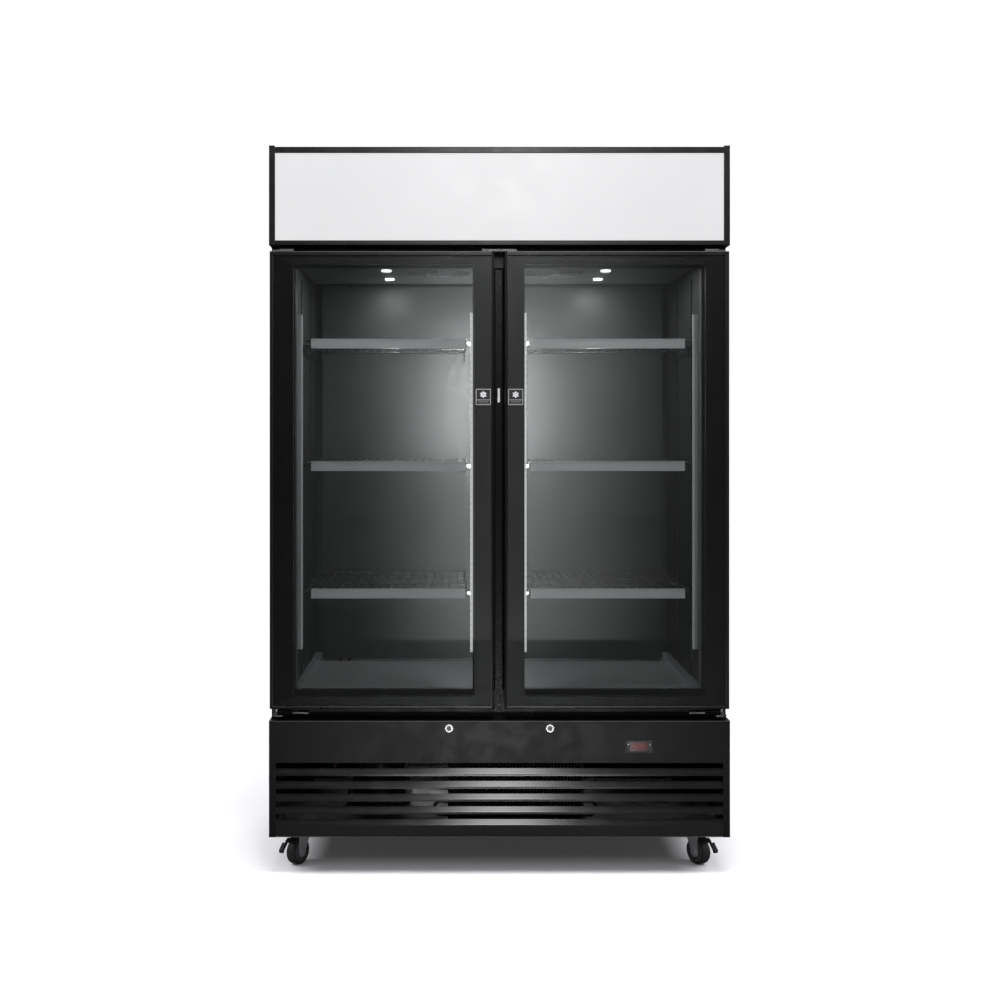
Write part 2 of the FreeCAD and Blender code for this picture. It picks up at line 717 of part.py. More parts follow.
def condenser_shroud():
    """Duct from the coil to the fan."""
    outer = block(CONDENSER_X, (CONDENSER_Y[1], SHROUD), CONDENSER_Z)
    inner = block((CONDENSER_X[0] + 2, CONDENSER_X[1] - 2), (CONDENSER_Y[1] - 1, SHROUD - 2),
                  (CONDENSER_Z[0] + 2, CONDENSER_Z[1] - 2))
    hole = rod((BLOWER_X, SHROUD - 5, BLOWER_Z), (BLOWER_X, SHROUD + 5, BLOWER_Z), BLOWER_TIP + 5)
    return outer.cut(inner).cut(hole)


def condenser_motor():
    """Motor behind the shroud on a bracket that stands on the base pan."""
    can = rod((BLOWER_X, SHROUD + 40, BLOWER_Z), (BLOWER_X, SHROUD + 100, BLOWER_Z), 40)
    shaft = rod((BLOWER_X, SHROUD + 40, BLOWER_Z), (BLOWER_X, SHROUD + 4, BLOWER_Z), 3)
    leg = block((BLOWER_X - 30, BLOWER_X + 30), (SHROUD + 60, SHROUD + 64), (PAN_TOP, BLOWER_Z))
    foot = block((BLOWER_X - 30, BLOWER_X + 30), (SHROUD + 60, SHROUD + 100), (PAN_TOP, PAN_TOP + 3))
    return fused([can, shaft, leg, foot])


def condenser_fan():
    fan = fan_blades(4, 24, BLOWER_TIP, 26, 58)
    fan.rotate(Vector(0, 0, 0), Vector(1, 0, 0), -90)
    return moved(fan, BLOWER_X, SHROUD + 8, BLOWER_Z)


COMPRESSOR_X = -370.0
COMPRESSOR_Y = 20.0


def compressor():
    """Sealed compressor can on its mounting plate and grommets."""
    low = PAN_TOP + 15
    can = rod((0, 0, low), (0, 0, low + 175), 85.0)
    top = [edge for edge in can.Edges if edge.BoundBox.ZMin > low + 170]
    can = can.makeFillet(55.0, top)
    plate = block((-105, 105), (-75, 75), (low - 3, low))
    grommets = [rod((x, y, PAN_TOP), (x, y, low - 3), 14) for x in (-85, 85) for y in (-55, 55)]
    terminal = block((60, 98), (-28, 28), (low + 50, low + 100))
    can = fused([can, plate, terminal])
    return group([moved(piece, COMPRESSOR_X, COMPRESSOR_Y) for piece in [can] + grommets])


def refrigerant_pipes():
    """Suction and liquid lines from the base up the air duct to the evaporator."""
    bend = 22.0
    can_x = COMPRESSOR_X - 85
    low_z = PAN_TOP + 90
    suction = [(can_x, COMPRESSOR_Y, low_z), (PIPE_X[0], COMPRESSOR_Y, low_z), (PIPE_X[0], PIPE_Y, low_z),
               (PIPE_X[0], PIPE_Y, 1852), (PIPE_X[0], 165, 1852), (-490, 165, 1852)]
    liquid = [(CONDENSER_X[0] - 1, -285, 380), (-250, -285, 380), (-250, -150, 380), (PIPE_X[1], -150, 380),
              (PIPE_X[1], PIPE_Y, 380), (PIPE_X[1], PIPE_Y, 1890), (PIPE_X[1], 190, 1890)]
    return group([bent_tube(suction, PIPE, bend), bent_tube(liquid, PIPE - 1.5, bend)])


def junction_box():
    """Terminal box behind the rear grille, with the cable inlet flush in the grille."""
    back = BACK - SHEET
    case = block((GLAND_X - 60, GLAND_X + 60), (back - 60, back), (GLAND_Z - 45, GLAND_Z + 45))
    case = case.makeFillet(4, [edge for edge in case.Edges if edge.Length < 61])
    gland = rod((GLAND_X, back, GLAND_Z), (GLAND_X, BACK, GLAND_Z), 10.5)
    bore = rod((GLAND_X, BACK - 20, GLAND_Z), (GLAND_X, BACK + 1, GLAND_Z), 5)
    return case.fuse(gland).cut(bore)


# ---------------------------------------------------------------- thermostat
BEZEL_WIDE = 78.0
BEZEL_HIGH = 35.0
BEZEL = FRONT - 3.0
KEY_OFFSET = 31.2
KEY_WIDE = 6.4
KEY_HIGH = 21.0
WINDOW_WIDE = 54.0
WINDOW_HIGH = 27.0


def thermostat_case():
    x, z = THERMOSTAT_X, THERMOSTAT_Z
    half = BEZEL_WIDE / 2
    high = BEZEL_HIGH / 2
    bezel = block((x - half, x + half), (BEZEL, FRONT), (z - high, z + high))
    edges = [e for e in bezel.Edges if abs(e.Length - 3.0) < 0.01]
    bezel = bezel.makeFillet(2.0, edges)
    body = block((x - 35, x + 35), (FRONT, FRONT + 57), (z - 14, z + 14))
    case = bezel.fuse(body).removeSplitter()
    window = block((x - WINDOW_WIDE / 2, x + WINDOW_WIDE / 2), (BEZEL - 1, BEZEL + 2),
                   (z - WINDOW_HIGH / 2, z + WINDOW_HIGH / 2))
    case = case.cut(window)
    for side in (-KEY_OFFSET, KEY_OFFSET):
        case = case.cut(block((x + side - KEY_WIDE / 2 - FREE, x + side + KEY_WIDE / 2 + FREE),
                              (BEZEL - 1, BEZEL + 5), (z - KEY_HIGH / 2 - 0.5, z + KEY_HIGH / 2 + 0.5)))
    return case


def thermostat_window():
    x, z = THERMOSTAT_X, THERMOSTAT_Z
    return block((x - WINDOW_WIDE / 2, x + WINDOW_WIDE / 2), (BEZEL + 0.5, BEZEL + 2),
                 (z - WINDOW_HIGH / 2, z + WINDOW_HIGH / 2))


def thermostat_key(side):
    """A rocker key that tips about its middle."""
    x = THERMOSTAT_X + side * KEY_OFFSET
    z = THERMOSTAT_Z
    half = KEY_WIDE / 2
    high = KEY_HIGH / 2
    key = block((x - half, x + half), (BEZEL - 0.8, BEZEL + 2.8), (z - high, z + high))
    front = [e for e in key.Edges if e.BoundBox.YMax < BEZEL]
    return key.makeFillet(0.7, front)


# ---------------------------------------------------------------- locks
BARREL = 7.0 + RUNNING


def lock_barrels():
    barrels = []
    for x in (-LOCK_X, LOCK_X):
        bezel = Part.makeCone(13.0, 11.5, 4.5, Vector(x, FRONT, LOCK_Z), Vector(0, -1, 0))
        body = rod((x, FRONT, LOCK_Z), (x, FRONT + 27, LOCK_Z), 9.5)
        bore = rod((x, FRONT - 10, LOCK_Z), (x, FRONT + 30, LOCK_Z), BARREL)
        barrels.append(bezel.fuse(body).cut(bore))
    return group(barrels)


def lock_plug(side):
    """Turning plug with a keyway, and the cam on its rear end."""
    x = side * LOCK_X
    plug = rod((x, LOCK_TIP, LOCK_Z), (x, FRONT + 33, LOCK_Z), 7.0)
    slot = block((x - 0.9, x + 0.9), (LOCK_TIP - 1, LOCK_TIP + 5), (LOCK_Z - 4.5, LOCK_Z + 4.5))
    reach = sorted((x, x - side * 40.0))
    cam = block(reach, (FRONT + 28, FRONT + 31), (LOCK_Z - 7, LOCK_Z + 7))
    cut = rod((x, FRONT + 27, LOCK_Z), (x, FRONT + 32, LOCK_Z), 19.0)
    cam = cam.common(cut)
    return plug.cut(slot).fuse(cam).removeSplitter()


# ---------------------------------------------------------------- hinges
BRACKET = 4.0
BRACKET_LOW = 459.0
PIN_INTO_DOOR = 22.0


def hinge_brackets():
    """A plate with a fixed pin below and above each door, welded to the face frame."""
    x, y = HINGE_X, HINGE_Y
    wide = FRONT + 5
    narrow = BODY_FRONT - 14
    outline = [(560, BODY_FRONT), (560, narrow), (606, narrow), (632, wide), (654, wide), (662, wide + 8),
               (662, BODY_FRONT)]
    lower = along_z(outline, (BRACKET_LOW, BRACKET_LOW + BRACKET))
    lower_pin = rod((x, y, BRACKET_LOW), (x, y, DOOR_BOTTOM + PIN_INTO_DOOR), HINGE_PIN)
    bush = rod((x, y, BRACKET_LOW + BRACKET), (x, y, DOOR_BOTTOM - FREE), 8)
    low = DOOR_TOP + 4.0
    high = DOOR_TOP + 7.5
    upper = block((600, 662), (FRONT + 26, BODY_FRONT), (low, high))
    cover = block((600, 640), (FRONT + 12, FRONT + 27), (low, high))
    fold = block((600, 640), (FRONT + 12, FRONT + 14), (DOOR_TOP + 0.5, high))
    upper_pin = rod((x, y, high), (x, y, DOOR_TOP - PIN_INTO_DOOR), HINGE_PIN)
    return group(both_sides([fused([lower, lower_pin, bush]), fused([upper, cover, fold, upper_pin])]))


# ---------------------------------------------------------------- doors
DOOR_REAR = FRONT + DOOR_THICK
FRAME_IN = DOOR_INNER + HANDLE_WIDE
FRAME_REAR = DOOR_REAR - FRAME_REAR_DEPTH
PANE_FRONT = FRONT + 1.0
BORDER_THICK = 0.4
BORDER_BACK = PANE_FRONT + GLASS_THICK + BORDER_THICK
EDGE = 1.8              # rounding of front edges
DOOR_EDGE = 3.0


def door_frame():
    """Four mitred profiles; the glass sits in a pocket that is open to the front."""
    x = (FRAME_IN, DOOR_OUTER)
    z = (DOOR_BOTTOM, DOOR_TOP)
    ring = block(x, (FRONT, DOOR_REAR), z)
    pocket = block((GLASS_IN, GLASS_OUT), (FRONT - 1, FRAME_REAR), (GLASS_LOW, GLASS_HIGH))
    through = block((CLEAR_IN - 6, CLEAR_OUT + 6), (FRONT, DOOR_REAR + 1), (CLEAR_LOW - 6, CLEAR_HIGH + 6))
    ring = ring.cut(pocket).cut(through)
    ring = rounded(ring, DOOR_EDGE, lambda box: box.YMax < FRONT + 0.01 and box.XMax > GLASS_IN + 1)
    bore = HINGE_PIN + RUNNING
    deep = PIN_INTO_DOOR + 1
    low = rod((HINGE_X, HINGE_Y, DOOR_BOTTOM - 1), (HINGE_X, HINGE_Y, DOOR_BOTTOM + deep), bore)
    high = rod((HINGE_X, HINGE_Y, DOOR_TOP + 1), (HINGE_X, HINGE_Y, DOOR_TOP - deep), bore)
    return group(mitred_ring(ring.cut(low).cut(high), x, z, 80.0))


def door_handle():
    """Finger-pull profile along the whole inner edge, with a rounded nose."""
    radius = HANDLE_WIDE / 2
    middle = DOOR_INNER + radius
    nose = rod((middle, FRONT + radius, DOOR_BOTTOM), (middle, FRONT + radius, DOOR_TOP), radius)
    web = block((DOOR_INNER, FRAME_IN), (FRONT + radius, FRONT + 30), (DOOR_BOTTOM, DOOR_TOP))
    lip = block((DOOR_INNER + 4, FRAME_IN), (FRONT + 30, DOOR_REAR), (DOOR_BOTTOM, DOOR_TOP))
    return fused([nose, web, lip])


def door_glass():
    """Front and rear panes of the double glazing."""
    x = (GLASS_IN, GLASS_OUT)
    z = (GLASS_LOW, GLASS_HIGH)
    front = block(x, (PANE_FRONT, PANE_FRONT + GLASS_THICK), z)
    rear = block(x, (FRAME_REAR - GLASS_THICK, FRAME_REAR), z)
    return group([front, rear])


def glass_border():
    """Printed border on the back of the front pane, and the spacer between the panes."""
    y = (PANE_FRONT + GLASS_THICK, BORDER_BACK)
    hole = block((CLEAR_IN, CLEAR_OUT), (FRONT, DOOR_REAR), (CLEAR_LOW, CLEAR_HIGH))
    border = block((GLASS_IN, GLASS_OUT), y, (GLASS_LOW, GLASS_HIGH)).cut(hole)
    width = 10.0
    spacer = block((CLEAR_IN - width, CLEAR_OUT + width), (BORDER_BACK, FRAME_REAR - GLASS_THICK),
                   (CLEAR_LOW - width, CLEAR_HIGH + width))
    return group([border, spacer.cut(hole)])


GASKET_WIDE = 20.0
GASKET_IN = 28.0
GASKET_OUT = 632.0
GASKET_Z = (492.0, 1808.0)


def door_gasket():
    """Magnetic seal on the back of the door, in four mitred strips."""
    x = (GASKET_IN, GASKET_OUT)
    y = (DOOR_REAR, DOOR_REAR + GASKET_THICK)
    outer = block(x, y, GASKET_Z)
    hole = block((x[0] + GASKET_WIDE, x[1] - GASKET_WIDE), (y[0] - 1, y[1] + 1),
                 (GASKET_Z[0] + GASKET_WIDE, GASKET_Z[1] - GASKET_WIDE))
    return group(mitred_ring(outer.cut(hole), x, GASKET_Z, 60.0))


# ---------------------------------------------------------------- casters
CROWN = 94.0
CROWN_TOP = 99.7
KINGPIN = 6.0
AXLE = 4.0
FORK_IN = 16.0
FORK_PLATE = 2.5
FORK_EYE = 16.0         # radius of a leg's round end
PLATE_THICK = 4.0
PLATE_X = 40.0
PLATE_Y = 50.0
BOLT_X = 31.0
BOLT_Y = 40.0
NUT_HIGH = 6.0
THREAD_SHOWN = 12.0


def caster_plate():
    """Top plate with the fixed raceway and kingpin, about the Z axis."""
    under = BASE_BOTTOM - PLATE_THICK
    plate = block((-PLATE_X, PLATE_X), (-PLATE_Y, PLATE_Y), (under, BASE_BOTTOM))
    raceway = rod((0, 0, CROWN_TOP + FREE), (0, 0, under), 22)
    pin = rod((0, 0, CROWN - FREE), (0, 0, CROWN_TOP + FREE), KINGPIN)
    head = rod((0, 0, CROWN - FREE - 4), (0, 0, CROWN - FREE), 10)
    corners = [(x, y) for x in (-BOLT_X, BOLT_X) for y in (-BOLT_Y, BOLT_Y)]
    nuts = [rod((x, y, under - NUT_HIGH), (x, y, under), 6.5) for x, y in corners]
    threads = [rod((x, y, under - THREAD_SHOWN), (x, y, under), 3) for x, y in corners]
    return fused([plate, raceway, pin, head] + nuts + threads)


def caster_fork(braked):
    """Crown, two legs and the axle; the wheel trails along +Y."""
    trail = CASTER_TRAIL
    crown = rod((0, 0, CROWN), (0, 0, CROWN_TOP), 24)
    web = block((-FORK_IN - FORK_PLATE, FORK_IN + FORK_PLATE), (0, 22), (CROWN, CROWN + 3))
    top = [(-14, CROWN + 3), (24, CROWN + 3)]
    ear = [(42, 88), (42, 77)] if braked else []
    leg = top + ear + [(trail + FORK_EYE - 1, WHEEL + 4), (trail, WHEEL - 6), (trail - FORK_EYE + 1, WHEEL + 4)]
    outside = FORK_IN + FORK_PLATE
    eye = rod((FORK_IN, trail, WHEEL), (outside, trail, WHEEL), FORK_EYE)
    legs = both_sides([along_x(leg, (FORK_IN, outside)).fuse(eye)])
    axle = rod((-FORK_IN - 6, trail, WHEEL), (FORK_IN + 6, trail, WHEEL), AXLE)
    nuts = both_sides([rod((outside, trail, WHEEL), (FORK_IN + 7, trail, WHEEL), 8)])
    pieces = [crown, web] + legs + [axle] + nuts
    if braked:
        pieces.append(rod((-FORK_IN, *BRAKE_PIVOT), (FORK_IN, *BRAKE_PIVOT), BRAKE_PIN))
    fork = fused(pieces)
    return fork.cut(rod((0, 0, CROWN - 1), (0, 0, CROWN + 8), KINGPIN + RUNNING)).Solids[0]


def caster_wheel():
    """Wheel with a rounded tread and recessed sides, on the fork's axle."""
    half = WHEEL_WIDE / 2
    wheel = rod((-half, CASTER_TRAIL, WHEEL), (half, CASTER_TRAIL, WHEEL), WHEEL)
    rims = [edge for edge in wheel.Edges if edge.BoundBox.XLength < 0.01]
    wheel = wheel.makeFillet(4.0, rims)
    for side in (-1, 1):
        start = (side * (half + 1), CASTER_TRAIL, WHEEL)
        end = (side * (half - 4), CASTER_TRAIL, WHEEL)
        recess = rod(start, end, 26).cut(rod(start, end, 10))
        wheel = wheel.cut(recess)
    return wheel.cut(rod((-half - 1, CASTER_TRAIL, WHEEL), (half + 1, CASTER_TRAIL, WHEEL), AXLE + RUNNING))


BRAKE_PIVOT = (34.0, 83.0)
BRAKE_PIN = 2.5
BRAKE_HALF = 12.0       # half width of the part between the legs
BRAKE_ARM = 23.0        # outer face of the arm beside the wheel
BRAKE_TAB = 32.0        # outer edge of the foot tab


def brake_pedal():
    """Hub and shoe between the legs, and an arm round one leg to a foot tab beside the wheel."""
    hub = [(30, 79), (30, 87), (38, 88), (58, 72), (58, 66), (54.5, 66.5), (47, 71.8), (42, 75)]
    bridge = [(47, 71.8), (47, 78), (58, 72), (58, 66), (54.5, 66.5)]
    arm = [(44, 75), (52, 75), (66, 62), (77, 47), (76, 39), (70, 39), (68, 46), (56, 58)]
    tab = [(62, 66), (78, 47), (77, 39), (74, 39), (75, 46), (60, 64)]
    pieces = [along_x(hub, (-BRAKE_HALF, BRAKE_HALF)), along_x(bridge, (BRAKE_HALF - 1, BRAKE_ARM)),
              along_x(arm, (BRAKE_ARM - 3, BRAKE_ARM)), along_x(tab, (BRAKE_ARM - 3, BRAKE_TAB))]
    bore = rod((-BRAKE_HALF - 1, *BRAKE_PIVOT), (BRAKE_HALF + 1, *BRAKE_PIVOT), BRAKE_PIN + RUNNING)
    return fused(pieces).cut(bore).Solids[0]


CASTERS = {
    "front_left": (-CASTER_X, CASTER_FRONT, FRONT_TURN),
    "front_right": (CASTER_X, CASTER_FRONT, -FRONT_TURN),
    "rear_left": (-CASTER_X, CASTER_REAR, 0.0),
    "rear_right": (CASTER_X, CASTER_REAR, 0.0),
}


def placed(shape, corner):
    """A caster piece turned to its rest direction and put under its corner of the base."""
    x, y, degrees = CASTERS[corner]
    return moved(turned(shape, degrees), x, y)


def caster_plates():
    return group([moved(caster_plate(), x, y) for x, y, _ in CASTERS.values()])


# ---------------------------------------------------------------- the whole object
def cabinet_nodes():
    makers = [cabinet_casing, insulation_foam, inner_liner, face_frame, mullion, mullion_fittings,
              rear_duct_panel, shelf_pilasters, shelf_clips, wire_shelves, price_rails, interior_lamps,
              evaporator_cover, evaporator_coil, fan_motors, sign_frame, sign_panel, sign_housing,
              sign_lamp_bars, base_pan, base_panels, control_fascia, louvre_grille, condenser_coil,
              condenser_shroud, compressor, refrigerant_pipes, junction_box, thermostat_case,
              thermostat_window, lock_barrels, hinge_brackets, caster_plates]
    return {maker.__name__: maker() for maker in makers}


def turning_nodes():
    return {
        "evaporator_fan_left": evaporator_fan(-FAN_X),
        "evaporator_fan_right": evaporator_fan(FAN_X),
        "condenser_fan": condenser_fan(),
        "thermostat_key_left": thermostat_key(-1),
        "thermostat_key_right": thermostat_key(1),
        "lock_plug_left": lock_plug(-1),
        "lock_plug_right": lock_plug(1),
    }


def door_nodes():
    nodes = {}
    for maker in (door_frame, door_handle, door_glass, glass_border, door_gasket):
        right = maker()
        nodes[maker.__name__ + "_right"] = right
        nodes[maker.__name__ + "_left"] = mirrored(right)
    return nodes


def caster_nodes():
    nodes = {}
    for corner in CASTERS:
        braked = corner.startswith("front")
        nodes["caster_fork_" + corner] = placed(caster_fork(braked), corner)
        nodes["caster_wheel_" + corner] = placed(caster_wheel(), corner)
        if braked:
            pedal = brake_pedal() if corner.endswith("left") else mirrored(brake_pedal())
            nodes["brake_pedal_" + corner] = placed(pedal, corner)
    return nodes


def main():
    os.makedirs("parts", exist_ok=True)
    nodes = {}
    for part in (cabinet_nodes, turning_nodes, door_nodes, caster_nodes):
        nodes.update(part())
    for name, shape in nodes.items():
        shape.exportStep(os.path.join("parts", name + ".step"))


main()
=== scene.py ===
"""Looks of the glass door merchandiser: materials, small fittings, floor, lights and camera."""
import json
import math

import bmesh
import bpy
from mathutils import Matrix, Vector


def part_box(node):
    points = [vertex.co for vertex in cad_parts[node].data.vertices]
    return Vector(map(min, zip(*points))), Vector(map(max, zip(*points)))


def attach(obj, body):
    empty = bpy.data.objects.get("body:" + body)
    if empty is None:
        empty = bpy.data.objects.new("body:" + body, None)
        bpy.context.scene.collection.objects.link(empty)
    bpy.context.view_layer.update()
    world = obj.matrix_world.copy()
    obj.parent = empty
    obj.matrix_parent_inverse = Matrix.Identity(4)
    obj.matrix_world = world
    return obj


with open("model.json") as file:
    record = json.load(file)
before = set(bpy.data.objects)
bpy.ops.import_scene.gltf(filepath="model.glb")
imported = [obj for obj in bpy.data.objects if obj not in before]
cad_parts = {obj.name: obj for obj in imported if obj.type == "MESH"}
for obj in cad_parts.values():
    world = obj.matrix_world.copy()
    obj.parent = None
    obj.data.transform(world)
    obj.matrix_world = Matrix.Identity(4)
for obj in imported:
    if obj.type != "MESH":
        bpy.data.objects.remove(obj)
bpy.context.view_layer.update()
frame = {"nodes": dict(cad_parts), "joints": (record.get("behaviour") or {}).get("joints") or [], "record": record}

# Lengths are in metres in the CAD's frame: +Z is up, the front faces -Y, the floor is at Z = 0.
NODES = frame["nodes"]
SIDES = {"left": -1, "right": 1}
CORNERS = ("front_left", "front_right", "rear_left", "rear_right")
BLACK, WHITE = (0, 0, 0), (1, 1, 1)
FACING_FRONT = Matrix.Rotation(math.radians(90), 4, "X")    # turns a piece built on XY to face -Y


# ---------------------------------------------------------------- node materials
class Recipe:
    """A material under construction: one Principled shader fed by textures in object space."""

    def __init__(self, name):
        self.material = bpy.data.materials.new(name)
        self.material.use_nodes = True
        self.tree = self.material.node_tree
        self.shader = self.tree.nodes["Principled BSDF"]
        self.place = self.add("ShaderNodeTexCoord").outputs["Object"]

    def add(self, kind, inputs=None, **settings):
        """A new node with its settings, and with its inputs by name or number."""
        node = self.tree.nodes.new(kind)
        for key, value in settings.items():
            setattr(node, key, value)
        for key, value in (inputs or {}).items():
            self.feed(node.inputs[key], value)
        return node

    def feed(self, socket, value):
        """Links a socket to another one, or gives it a value."""
        if isinstance(value, bpy.types.NodeSocket):
            self.tree.links.new(value, socket)
        else:
            socket.default_value = value

    def set(self, **values):
        """Shader inputs by name, with _ for the spaces."""
        for key, value in values.items():
            self.feed(self.shader.inputs[key.replace("_", " ")], value)

    def noise(self, size, stretch=(1, 1, 1), detail=3.0):
        """Noise with features about size across, and longer by the factors of stretch."""
        scale = [1 / factor for factor in stretch]
        squeezed = self.add("ShaderNodeMapping", {"Vector": self.place, "Scale": scale})
        inputs = {"Vector": squeezed.outputs["Vector"], "Scale": 1 / size, "Detail": detail}
        return self.add("ShaderNodeTexNoise", inputs).outputs["Fac"]

    def axis(self, name):
        """One coordinate of the surface point."""
        return self.add("ShaderNodeSeparateXYZ", {"Vector": self.place}).outputs[name]

    def math(self, operation, *values):
        """The result of a Math node."""
        node = self.add("ShaderNodeMath", operation=operation)
        for socket, value in zip(node.inputs, values):
            self.feed(socket, value)
        return node.outputs["Value"]

    def vector(self, operation, result, *values):
        """The named result of a Vector Math node."""
        inputs = dict(enumerate(values))
        return self.add("ShaderNodeVectorMath", inputs, operation=operation).outputs[result]

    def waves(self, name, pitch):
        """A sine along one axis, with one wave in each pitch."""
        return self.math("SINE", self.math("MULTIPLY", self.axis(name), 2 * math.pi / pitch))

    def spread(self, value, low, high, start=0.35, end=0.65):
        """Maps start..end of a value to low..high, held at both ends."""
        inputs = {"Value": value, "From Min": start, "From Max": end, "To Min": low, "To Max": high}
        return self.add("ShaderNodeMapRange", inputs).outputs["Result"]

    def below(self, value, start, end):
        """1 up to start, and 0 from end on."""
        return self.spread(value, 1.0, 0.0, start, end)

    def above(self, value, start, end):
        """0 up to start, and 1 from end on."""
        return self.spread(value, 0.0, 1.0, start, end)

    def between(self, factor, low, high):
        """A number from low to high, by a factor from 0 to 1."""
        return self.spread(factor, low, high, 0.0, 1.0)

    def tint(self, factor, dark, light):
        """A colour from dark to light, by a factor; each is a colour or a socket."""
        node = self.add("ShaderNodeMix", {"Factor": factor}, data_type="RGBA")
        ends = [socket for socket in node.inputs if socket.type == "RGBA"]
        for socket, colour in zip(ends, (dark, light)):
            linked = isinstance(colour, bpy.types.NodeSocket)
            self.feed(socket, colour if linked else (*colour, 1.0))
        return next(socket for socket in node.outputs if socket.type == "RGBA")

    def bump(self, height, depth):
        """A surface normal from a height between 0 and 1."""
        inputs = {"Height": height, "Strength": 1.0, "Distance": depth}
        return self.add("ShaderNodeBump", inputs).outputs["Normal"]


def grey(level):
    """A near-neutral colour, a little to the blue."""
    return (level, level, level * 1.04)


def finish(name, dark, light, rough, grain, metal=0.0, blotch=0.25, stretch=(1, 1, 1),
           depth=0.00003, **shader):
    """A coated, moulded or rolled surface: mottled colour, uneven gloss and a fine grain."""
    recipe = Recipe(name)
    mottle = recipe.noise(blotch, stretch)
    recipe.set(Base_Color=recipe.tint(recipe.spread(mottle, 0.0, 1.0), dark, light))
    recipe.set(Roughness=recipe.spread(recipe.noise(blotch / 5, stretch), *rough))
    recipe.set(Metallic=metal, **shader)
    if depth:
        recipe.set(Normal=recipe.bump(recipe.noise(grain, stretch, detail=2.0), depth))
    return recipe


def outer_paint():
    """Black powder coat with its orange peel."""
    return finish("black_powder_coat", grey(0.0022), grey(0.0032), rough=(0.32, 0.40),
                  grain=0.0016, Specular_IOR_Level=0.3)


def inner_paint():
    """Dark grey textured liner paint."""
    return finish("liner_paint", grey(0.0155), grey(0.0190), rough=(0.42, 0.50), grain=0.0012,
                  blotch=0.12, depth=0.000008, Specular_IOR_Level=0.4)


def door_profile():
    """Black anodised extrusion with draw lines along its length."""
    return finish("anodised_profile", grey(0.004), grey(0.006), rough=(0.26, 0.34), grain=0.0008,
                  stretch=(1, 1, 30), Specular_IOR_Level=0.35)


def sign_profile():
    """Black paint of the sign's frame."""
    return finish("sign_frame_paint", grey(0.004), grey(0.007), rough=(0.28, 0.36), grain=0.0014,
                  Specular_IOR_Level=0.35)


def sign_acrylic():
    """Milk-white sheet lit from behind, a little brighter towards its ends."""
    recipe = finish("opal_acrylic", grey(0.09), grey(0.10), rough=(0.30, 0.36), grain=0.02,
                    blotch=0.4)
    across = recipe.math("ABSOLUTE", recipe.axis("X"))
    glow = recipe.spread(across, 0.64, 0.68, start=0.05, end=0.62)
    cloud = recipe.spread(recipe.noise(0.5), 0.98, 1.02)
    recipe.set(Emission_Color=(0.985, 0.99, 1.0, 1.0),
               Emission_Strength=recipe.math("MULTIPLY", glow, cloud))
    return recipe


def lamp_diffuser():
    """Frosted lamp covers: upright strips with rows of emitters, and the round ceiling lamps."""
    recipe = finish("lamp_cover", grey(0.30), grey(0.34), rough=(0.45, 0.55), grain=0.001)
    dots = recipe.spread(recipe.waves("Z", pitch=0.02), 0.52, 0.66, start=-0.5, end=0.9)
    across = recipe.math("ABSOLUTE", recipe.axis("X"))
    dimmed = recipe.spread(across, 0.9, 0.17, start=0.45, end=0.55)     # strips at the side walls
    face = recipe.below(across, 0.5930, 0.5935)                         # not their housings
    strips = recipe.math("MULTIPLY", recipe.math("MULTIPLY", dots, dimmed), face)
    ceiling = recipe.spread(recipe.axis("Z"), 0.0, 1.6, start=1.70, end=1.75)
    recipe.set(Emission_Color=(0.98, 0.99, 1.0, 1.0),
               Emission_Strength=recipe.math("ADD", strips, ceiling))
    return recipe


def foam():
    """Rigid insulation with its open cells."""
    return finish("rigid_foam", (0.70, 0.62, 0.40), (0.80, 0.72, 0.50), rough=(0.8, 0.95),
                  grain=0.003, depth=0.0006)


def zinc_plate():
    """Bright zinc plating, a little cloudy."""
    return finish("zinc_plating", grey(0.50), grey(0.62), rough=(0.24, 0.40), grain=0.0006,
                  metal=1.0, blotch=0.03)


SWITCH_Z = 1.3955               # middle of the light switch cover on the mullion
SWITCH_TALL = (0.0206, 0.0208)  # half of its height, and where its tint has ended
SWITCH_WIDE = (0.0031, 0.0033)  # the same across


def bracket_steel():
    """Dull plating of the stay above the doors and the mullion's fittings, and a pale switch given a painted glow.
    """
    recipe = zinc_plate()
    stay = recipe.spread(recipe.axis("Z"), 0.018, 0.08, start=1.78, end=1.80)
    along = recipe.math("ABSOLUTE", recipe.math("SUBTRACT", recipe.axis("Z"), SWITCH_Z))
    across = recipe.math("ABSOLUTE", recipe.axis("X"))
    switch = recipe.math("MULTIPLY", recipe.below(along, *SWITCH_TALL),
                         recipe.below(across, *SWITCH_WIDE))
    level = recipe.math("MAXIMUM", stay, recipe.math("MULTIPLY", switch, 0.75))
    recipe.set(Base_Color=recipe.tint(level, BLACK, WHITE),
               Metallic=recipe.between(switch, 1.0, 0.0))
    # painted highlight: the switch glows a little though it is no lamp
    recipe.set(Emission_Color=(1, 1, 1, 1),
               Emission_Strength=recipe.math("MULTIPLY", switch, 0.2))
    return recipe


def hinge_steel():
    """Darker plating of the hinge plates and pins."""
    return finish("hinge_plating", grey(0.22), grey(0.30), rough=(0.28, 0.42), grain=0.0006,
                  metal=1.0, blotch=0.02)


def recess_paint():
    """Matt black of the mullion's face."""
    return finish("recess_paint", grey(0.0015), grey(0.0022), rough=(0.7, 0.8), grain=0.0012,
                  Specular_IOR_Level=0.1)


def liner_shell():
    """The liner: textured paint on the walls, and a smoother floor painted pale, as painted light from the lamps
    above it.
    """
    recipe = inner_paint()
    lamplit_floor = recipe.below(recipe.axis("Z"), 0.530, 0.533)
    # painted light: the floor of the liner is coloured pale for the lamp light that falls on it
    recipe.set(Base_Color=recipe.tint(lamplit_floor, grey(0.021), grey(0.34)),
               Roughness=recipe.between(lamplit_floor, 0.46, 0.22))
    return recipe


def clip_steel():
    """Shelf clips, dipped black with the shelves."""
    return finish("clip_coating", grey(0.012), grey(0.018), rough=(0.4, 0.5), grain=0.001,
                  blotch=0.01)


